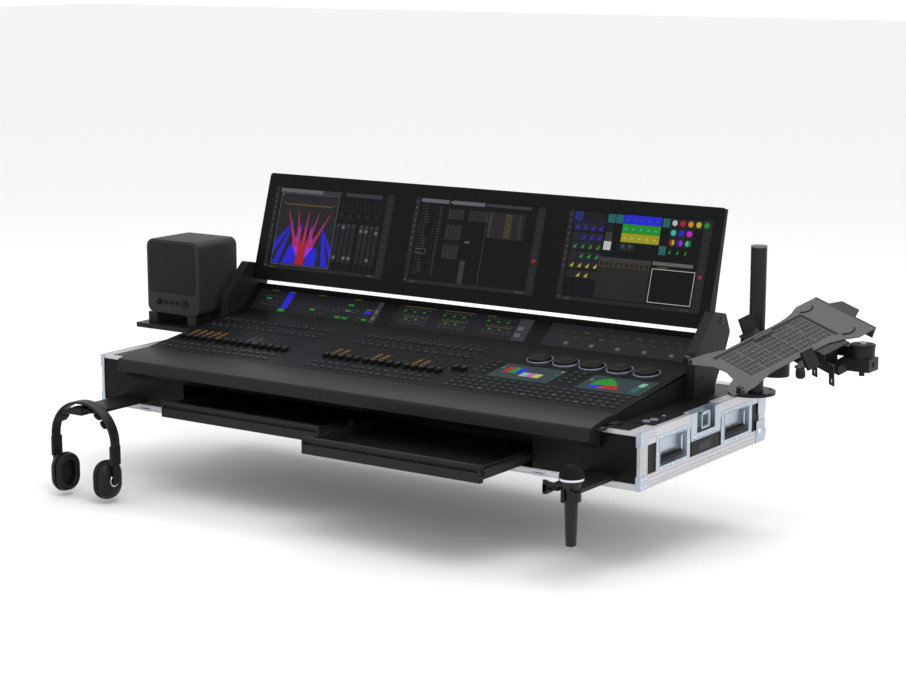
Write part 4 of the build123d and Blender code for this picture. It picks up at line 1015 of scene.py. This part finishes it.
def tray_details():
    """Painted shade along the groove round the vents, their bars over a backing of painted shade, painted shade
    in the smile-shaped slots, slider bar, stops and the ribbed knobs of the clamps."""
    x0, x1, y0, y1 = -118.0, 118.0, -51.0, 51.0
    bm = bmesh.new()
    # painted shade: dark strips along two walls of the groove, and a dark sheet under the vent bars
    box(bm, TRAY, (x0 - 6, x1 + 5), (y1 - 1, y1 + 7), (-0.2, 0.3))
    box(bm, TRAY, (x1 - 1, x1 + 6), (y0 - 3, y1), (-0.2, 0.3))
    box(bm, TRAY, (x0, x1), (y0, y1), (-3.2, -2.1))
    piece("tray_groove_shade", bm, "laptop_tray", TRAY_SHADE, 0.2)
    bm = bmesh.new()
    box(bm, TRAY, (x0 - 6, x1 + 6), (y1 + 7, y1 + 8.4), (-0.2, 1.0))
    box(bm, TRAY, (x1 + 6, x1 + 7.4), (y0 - 3, y1 + 8.4), (-0.2, 1.0))
    for i in range(20):
        for j in range(7):
            x, y = -108 + i * 11.4, -42 + j * 14
            box(bm, TRAY, (x - 0.8, x + 0.8), (y - 5.2, y + 5.2), (-1.9, -0.1))
            box(bm, TRAY, (x - 4.7, x + 4.7), (y - 0.8, y + 0.8), (-1.85, -0.15))
    for x in (-73.5, -24.5, 24.5, 73.5):
        for y in (-34, 0, 34):
            box(bm, TRAY, (x - 2.4, x + 2.4), (y - 11, y + 11), (-0.3, 0.4))
    for x in (-49, 0, 49):
        for y in (-20, 20):
            box(bm, TRAY, (x - 3.4, x + 3.4), (y - 3.4, y + 3.4), (-0.3, 0.4))
    piece("tray_bars", bm, "laptop_tray", TRAY_GREY)
    bm = bmesh.new()
    # painted shade: dark bars lying in the smile-shaped slots
    for y in (-63, 63):
        points = []
        for i in range(17):
            turn = radians(192 + 156 * i / 16)
            points.append(TRAY @ Vector((147 + 18 * cos(turn), y + 5 + 12 * sin(turn), 0.2)))
        tube(bm, points, 2.0, 8)
    piece("tray_slot_shade", bm, "laptop_tray", TRAY_SHADE)
    bm = bmesh.new()
    box(bm, TRAY, (-20, 35), (45, 51), (0, 6), 0.9)
    piece("tray_slider", bm, "laptop_tray", TRAY_GREY, 1.0)
    bm = bmesh.new()
    for y in (82, -80):
        box(bm, TRAY, (-178, -166), (y - 8, y + 8), (-1.5, 15), 0.8)
    prism(bm, TRAY, [(198, -29), (198, 55), (228, 40), (228, -12)], -5.2, -3.2)
    piece("tray_stops", bm, "laptop_tray", ARM, 1.0)
    for name, side in (("tray_clamp_left", 1), ("tray_clamp_right", -1)):
        bm = bmesh.new()
        profile = [(9.4, -11.6), (10.2, -10), (10.2, 2), (9.4, 3.4)]
        lathe(bm, TRAY @ at(-12, side * 84, -20), profile, 72, 18, 1.0)
        piece(f"{name}_knob", bm, name, RUBBER)


# ---------------------------------------------------------------- headphones
def band_section(turn, outer_x, outer_z, drop=0.0):
    """A point of the headband's arch, turn radians from its crown."""
    centre = BAND_TOP - 92.0
    return Vector((PHONES_X + outer_x * sin(turn), PHONES_Y, centre + outer_z * cos(turn) - drop))


def sweep(bm, points, normals, widths, thicks, corner=0.35):
    """A strap of rounded section along points; width lies along Y, thickness along the normal."""
    loops = []
    for p, n, w, t in zip(points, normals, widths, thicks):
        ring = []
        for a, b in ((-1, -corner), (-1, corner), (-1 + corner * 0.5, 1), (1 - corner * 0.5, 1), (1, corner),
                     (1, -corner), (1 - corner * 0.5, -1), (-1 + corner * 0.5, -1)):
            ring.append(bm.verts.new(p + Vector((0, a * w / 2, 0)) + n * (b * t / 2)))
        loops.append(ring)
    for a, b in zip(loops, loops[1:]):
        for i in range(8):
            j = (i + 1) % 8
            bm.faces.new((a[i], a[j], b[j], b[i]))
    bm.faces.new(loops[0][::-1])
    bm.faces.new(loops[-1])


def pad_object(name, bm, body, node):
    """A padded piece that stands for a CAD node, rounded by subdivision."""
    obj = piece(name, bm, body, PAD, smooth=180, stands_for=(node,))
    rounder = obj.modifiers.new("soft", "SUBSURF")
    rounder.levels = 2
    rounder.render_levels = 2
    return obj


def swell(obj, limit):
    """Inflates a closed pad with a short cloth simulation, moving no point by more than limit metres."""
    bpy.context.view_layer.objects.active = obj
    for modifier in list(obj.modifiers):
        obj.modifiers.remove(modifier)
    start = [v.co.copy() for v in obj.data.vertices]
    cloth = obj.modifiers.new("cloth", "CLOTH")
    cloth.settings.quality = 5
    cloth.settings.mass = 0.2
    cloth.settings.use_pressure = True
    cloth.settings.uniform_pressure_force = 4.0
    cloth.settings.effector_weights.gravity = 0.0
    for number in range(1, 13):
        bpy.context.scene.frame_set(number)
    shaped = obj.evaluated_get(bpy.context.evaluated_depsgraph_get())
    for vertex, result, before in zip(obj.data.vertices, shaped.data.vertices, start):
        move = result.co - before
        if move.length > limit:
            move = move.normalized() * limit
        vertex.co = before + move
    obj.modifiers.remove(cloth)
    bpy.context.scene.frame_set(1)
    rounder = obj.modifiers.new("soft", "SUBSURF")
    rounder.levels = 1
    rounder.render_levels = 1


def ring_pad(x_in, x_out, outline_outer, outline_inner):
    """Closed cushion ring with fine rows, so that it can swell."""
    bm = bmesh.new()
    count = len(outline_outer)
    rows = []
    steps = 8
    for k in range(steps):
        turn = 2 * pi * k / steps
        mix = 0.5 - 0.5 * cos(turn)
        x = (x_in + x_out) / 2 + (x_out - x_in) / 2 * sin(turn)
        row = []
        for (oy, oz), (iy, iz) in zip(outline_outer, outline_inner):
            row.append(bm.verts.new(Vector((x, oy + (iy - oy) * mix, oz + (iz - oz) * mix))))
        rows.append(row)
    for a, b in zip(rows, rows[1:] + rows[:1]):
        for i in range(count):
            j = (i + 1) % count
            bm.faces.new((a[i], a[j], b[j], b[i]))
    return bm


def headphones():
    """Headband with its pad, and two cups with their rings, cushions, seams and mesh."""
    bm = bmesh.new()
    steps = 40
    points, normals, widths, thicks = [], [], [], []
    for i in range(steps + 1):
        turn = radians(-96 + 192 * i / steps)
        points.append(band_section(turn, 94, 88))
        normals.append(Vector((sin(turn), 0, cos(turn))))
        near = abs(turn) / radians(96)
        widths.append(34 - 6 * near)
        thicks.append(6.5)
    sweep(bm, points, normals, widths, thicks)
    for side in (-1, 1):
        x = PHONES_X + side * 93
        box(bm, WORLD, (x - 4, x + 4), (PHONES_Y - 15, PHONES_Y + 15), (-92, -46))
        for k in range(6):
            box(bm, WORLD, (x - 4.8, x + 4.8), (PHONES_Y - 13, PHONES_Y + 13), (-88 + k * 6.4, -85 + k * 6.4))
        yoke_x = PHONES_X + side * 95
        box(bm, WORLD, (yoke_x - 4, yoke_x + 4), (PHONES_Y - 9, PHONES_Y + 9), (-136, -88))
        lathe(bm, sideways(PHONES_X + side * 83, PHONES_Y, CUP_Z, side), [(4.9, 0), (4.9, 15)], 24)
    piece("phones_band", bm, "headphones", PHONES, 1.6, 3, stands_for=("headband",))

    bm = bmesh.new()
    for k in range(7):
        mid = radians(-54 + 18 * k)
        points, normals, widths, thicks = [], [], [], []
        for i in range(7):
            turn = mid + radians(-8.2 + 16.4 * i / 6)
            crown = 1 - abs(i - 3) / 3
            points.append(band_section(turn, 82.5, 76.6, 1.2))
            normals.append(Vector((sin(turn), 0, cos(turn))))
            widths.append(22 + 9 * crown ** 0.4)
            thicks.append(5.0 + 4.0 * crown ** 0.5)
        sweep(bm, points, normals, widths, thicks, 0.5)
    pad_object("phones_head_pad", bm, "headphones", "headband_pad")

    for name, side in (("left", -1), ("right", 1)):
        centre = PHONES_X + side * 78
        body = f"ear_cup_{name}"
        outward = Matrix(((0, 0, side, 0), (1, 0, 0, 0), (0, 1, 0, 0), (0, 0, 0, 1)))
        turned = at(centre, PHONES_Y, CUP_Z) @ outward
        bm = bmesh.new()
        sections = []
        for inset, depth in ((2.0, -10), (0.2, -8.5), (0.0, -3), (3.0, 3), (10.0, 7.5), (19.0, 9.6)):
            sections.append((rounded(-36 + inset, 36 - inset, -45 + inset, 45 - inset, 34 - inset), depth))
        lofted(bm, turned, sections)
        lathe(bm, turned, [(17, 8), (16.5, 10), (13, 11.6), (0, 11.8)], 40)
        box(bm, turned, (-12, 12), (22, 41), (2, 9.5))
        piece(f"phones_cup_{name}", bm, body, PHONES, 0.6, stands_for=(f"ear_cup_{name}",))
        bm = bmesh.new()
        lathe(bm, turned, [(14.5, 10.6), (14.6, 12.2), (13.4, 12.9), (11.6, 12.4), (11.4, 11.2)], 48)
        piece(f"phones_ring_{name}", bm, body, CHROME)
        rim = rounded(-37, 37, -45, 45, 32, 10)
        outer = [(PHONES_Y + a, CUP_Z + b) for a, b in rim]
        inner = [(PHONES_Y + a * 20 / 37, CUP_Z + b * 27 / 45) for a, b in rim]
        near, far = PHONES_X + side * 50.6, PHONES_X + side * 67.4
        pad = piece(f"phones_pad_{name}", ring_pad(near, far, outer, inner), body, PAD,
                    smooth=180, stands_for=(f"ear_cushion_{name}",))
        swell(pad, 0.0012)
        bm = bmesh.new()
        seam = [Vector((PHONES_X + side * 67.8, y, z)) for y, z in outer]
        tube(bm, seam + seam[:2], 0.9, 8)
        piece(f"phones_seam_{name}", bm, body, PAD)
        bm = bmesh.new()
        opening = rounded(-21, 21, -29, 29, 18)
        lofted(bm, turned, [(opening, -10.6), (opening, -9.6)])
        piece(f"phones_mesh_{name}", bm, body, GRILLE)


# ---------------------------------------------------------------- microphone
def microphone():
    """Handle, ring, foam and woven grille of the microphone, and its clip."""
    here = at(MIC_X, MIC_Y, 0)
    bm = bmesh.new()
    lathe(bm, here, [(9.6, -84), (10.8, -83), (11.0, -80), (14.4, 26), (15.6, 31), (22.6, 50), (23.4, 52)], 48)
    piece("mic_handle", bm, "microphone", MIC_BODY, stands_for=("microphone",))
    bm = bmesh.new()
    lathe(bm, here, [(23.6, 50.2), (25.4, 50.8), (25.8, 52.4), (25.6, 55.2), (24.4, 56.0), (23.0, 56.0)], 56)
    piece("mic_ring", bm, "microphone", CHROME)
    bm = bmesh.new()
    profile = [(24.4 * cos(radians(a)), 56 + 23.6 * sin(radians(a))) for a in range(-6, 90, 6)] + [(0, 79.8)]
    lathe(bm, here, profile, 48)
    piece("mic_foam", bm, "microphone", GRILLE)
    bm = bmesh.new()
    rings, sides = 18, 56
    radius = 25.1
    for i in range(rings):
        tilt = radians(2 + 86 * i / rings)
        r, z = radius * cos(tilt), 56 + (radius - 0.4) * sin(tilt)
        turns = [2 * pi * k / sides for k in range(sides)]
        loop = [here @ Vector((r * cos(turn), r * sin(turn), z)) for turn in turns]
        tube(bm, loop + loop[:1], 0.38, 5)
    for k in range(40):
        turn = 2 * pi * k / 40
        line = []
        for i in range(13):
            tilt = radians(1 + 85 * i / 12)
            r, z = radius * cos(tilt), 56 + (radius - 0.4) * sin(tilt)
            line.append(here @ Vector((r * cos(turn), r * sin(turn), z)))
        tube(bm, line, 0.34, 5)
    piece("mic_grille", bm, "microphone", MIC_MESH)
    bm = bmesh.new()
    outline = [(613, 43), (622, 43), (640, 34), (640, 27), (624, 30), (622, 18), (613, 18)]
    prism(bm, FACING, outline, 441, 446)
    box(bm, WORLD, (MIC_X - 14, MIC_X - 6), (MIC_Y - 19, MIC_Y - 14), (6, 33))
    box(bm, WORLD, (MIC_X + 6, MIC_X + 14), (MIC_Y - 19, MIC_Y - 14), (6, 33))
    piece("mic_clip", bm, "case", ARM, 1.2)


# ---------------------------------------------------------------- studio
def studio():
    """Pale floor, white surroundings, three soft lights and the camera."""
    bm = bmesh.new()
    size = 30000.0
    corners = [bm.verts.new((a * size, b * size, FLOOR_Z)) for a, b in ((-1, -1), (1, -1), (1, 1), (-1, 1))]
    bm.faces.new(corners)
    bmesh.ops.scale(bm, vec=(0.001, 0.001, 0.001), verts=bm.verts)
    mesh = bpy.data.meshes.new("studio_floor")
    bm.to_mesh(mesh)
    bm.free()
    floor = bpy.data.objects.new("studio_floor", mesh)
    mesh.materials.append(material("floor_white", (0.86, 0.86, 0.86), 0.9, 0, 30, 0.0, 0.005))
    bpy.context.scene.collection.objects.link(floor)

    world = bpy.data.worlds.new("studio_world")
    bpy.context.scene.world = world
    world.use_nodes = True
    world.node_tree.nodes["Background"].inputs["Color"].default_value = (1, 1, 1, 1)
    world.node_tree.nodes["Background"].inputs["Strength"].default_value = 1.05

    def area(name, place, target, size, power):
        """A soft light at a place, aimed at a target, in metres."""
        light = bpy.data.lights.new(name, "AREA")
        light.shape = "RECTANGLE"
        light.size, light.size_y = size
        light.energy = power
        obj = bpy.data.objects.new(name, light)
        obj.location = place
        obj.rotation_euler = (Vector(target) - Vector(place)).to_track_quat("-Z", "Y").to_euler()
        bpy.context.scene.collection.objects.link(obj)

    area("key_light", (1.6, -1.6, 3.4), (0, 0, 0.1), (2.6, 1.6), 60)
    area("side_light", (4.2, -0.6, 1.4), (0.5, 0, 0.1), (1.6, 1.6), 28)
    area("top_light", (-0.6, 1.6, 3.0), (-0.3, 0, 0.1), (3.0, 1.4), 36)

    lens = bpy.data.cameras.new("camera")
    lens.sensor_width = 36.0
    lens.lens = 84.38
    camera = bpy.data.objects.new("camera", lens)
    camera.location = (2.7862, -3.9091, 1.0861)
    camera.rotation_euler = (radians(90 - 10.834), 0, radians(34.591))
    bpy.context.scene.collection.objects.link(camera)
    bpy.context.scene.camera = camera
    bpy.context.scene.view_settings.view_transform = "Standard"


studio()
stage_view()
cue_tables()
palettes()
letterboxes()
touch_pages()
key_details()
indicators()
encoder_details()
fader_details()
case_ribs()
rivet_heads()
case_fittings()
case_handles()
deck_details()
drawer_details()
wing_details()
speaker_details()
arm_details()
tray_details()
headphones()
microphone()
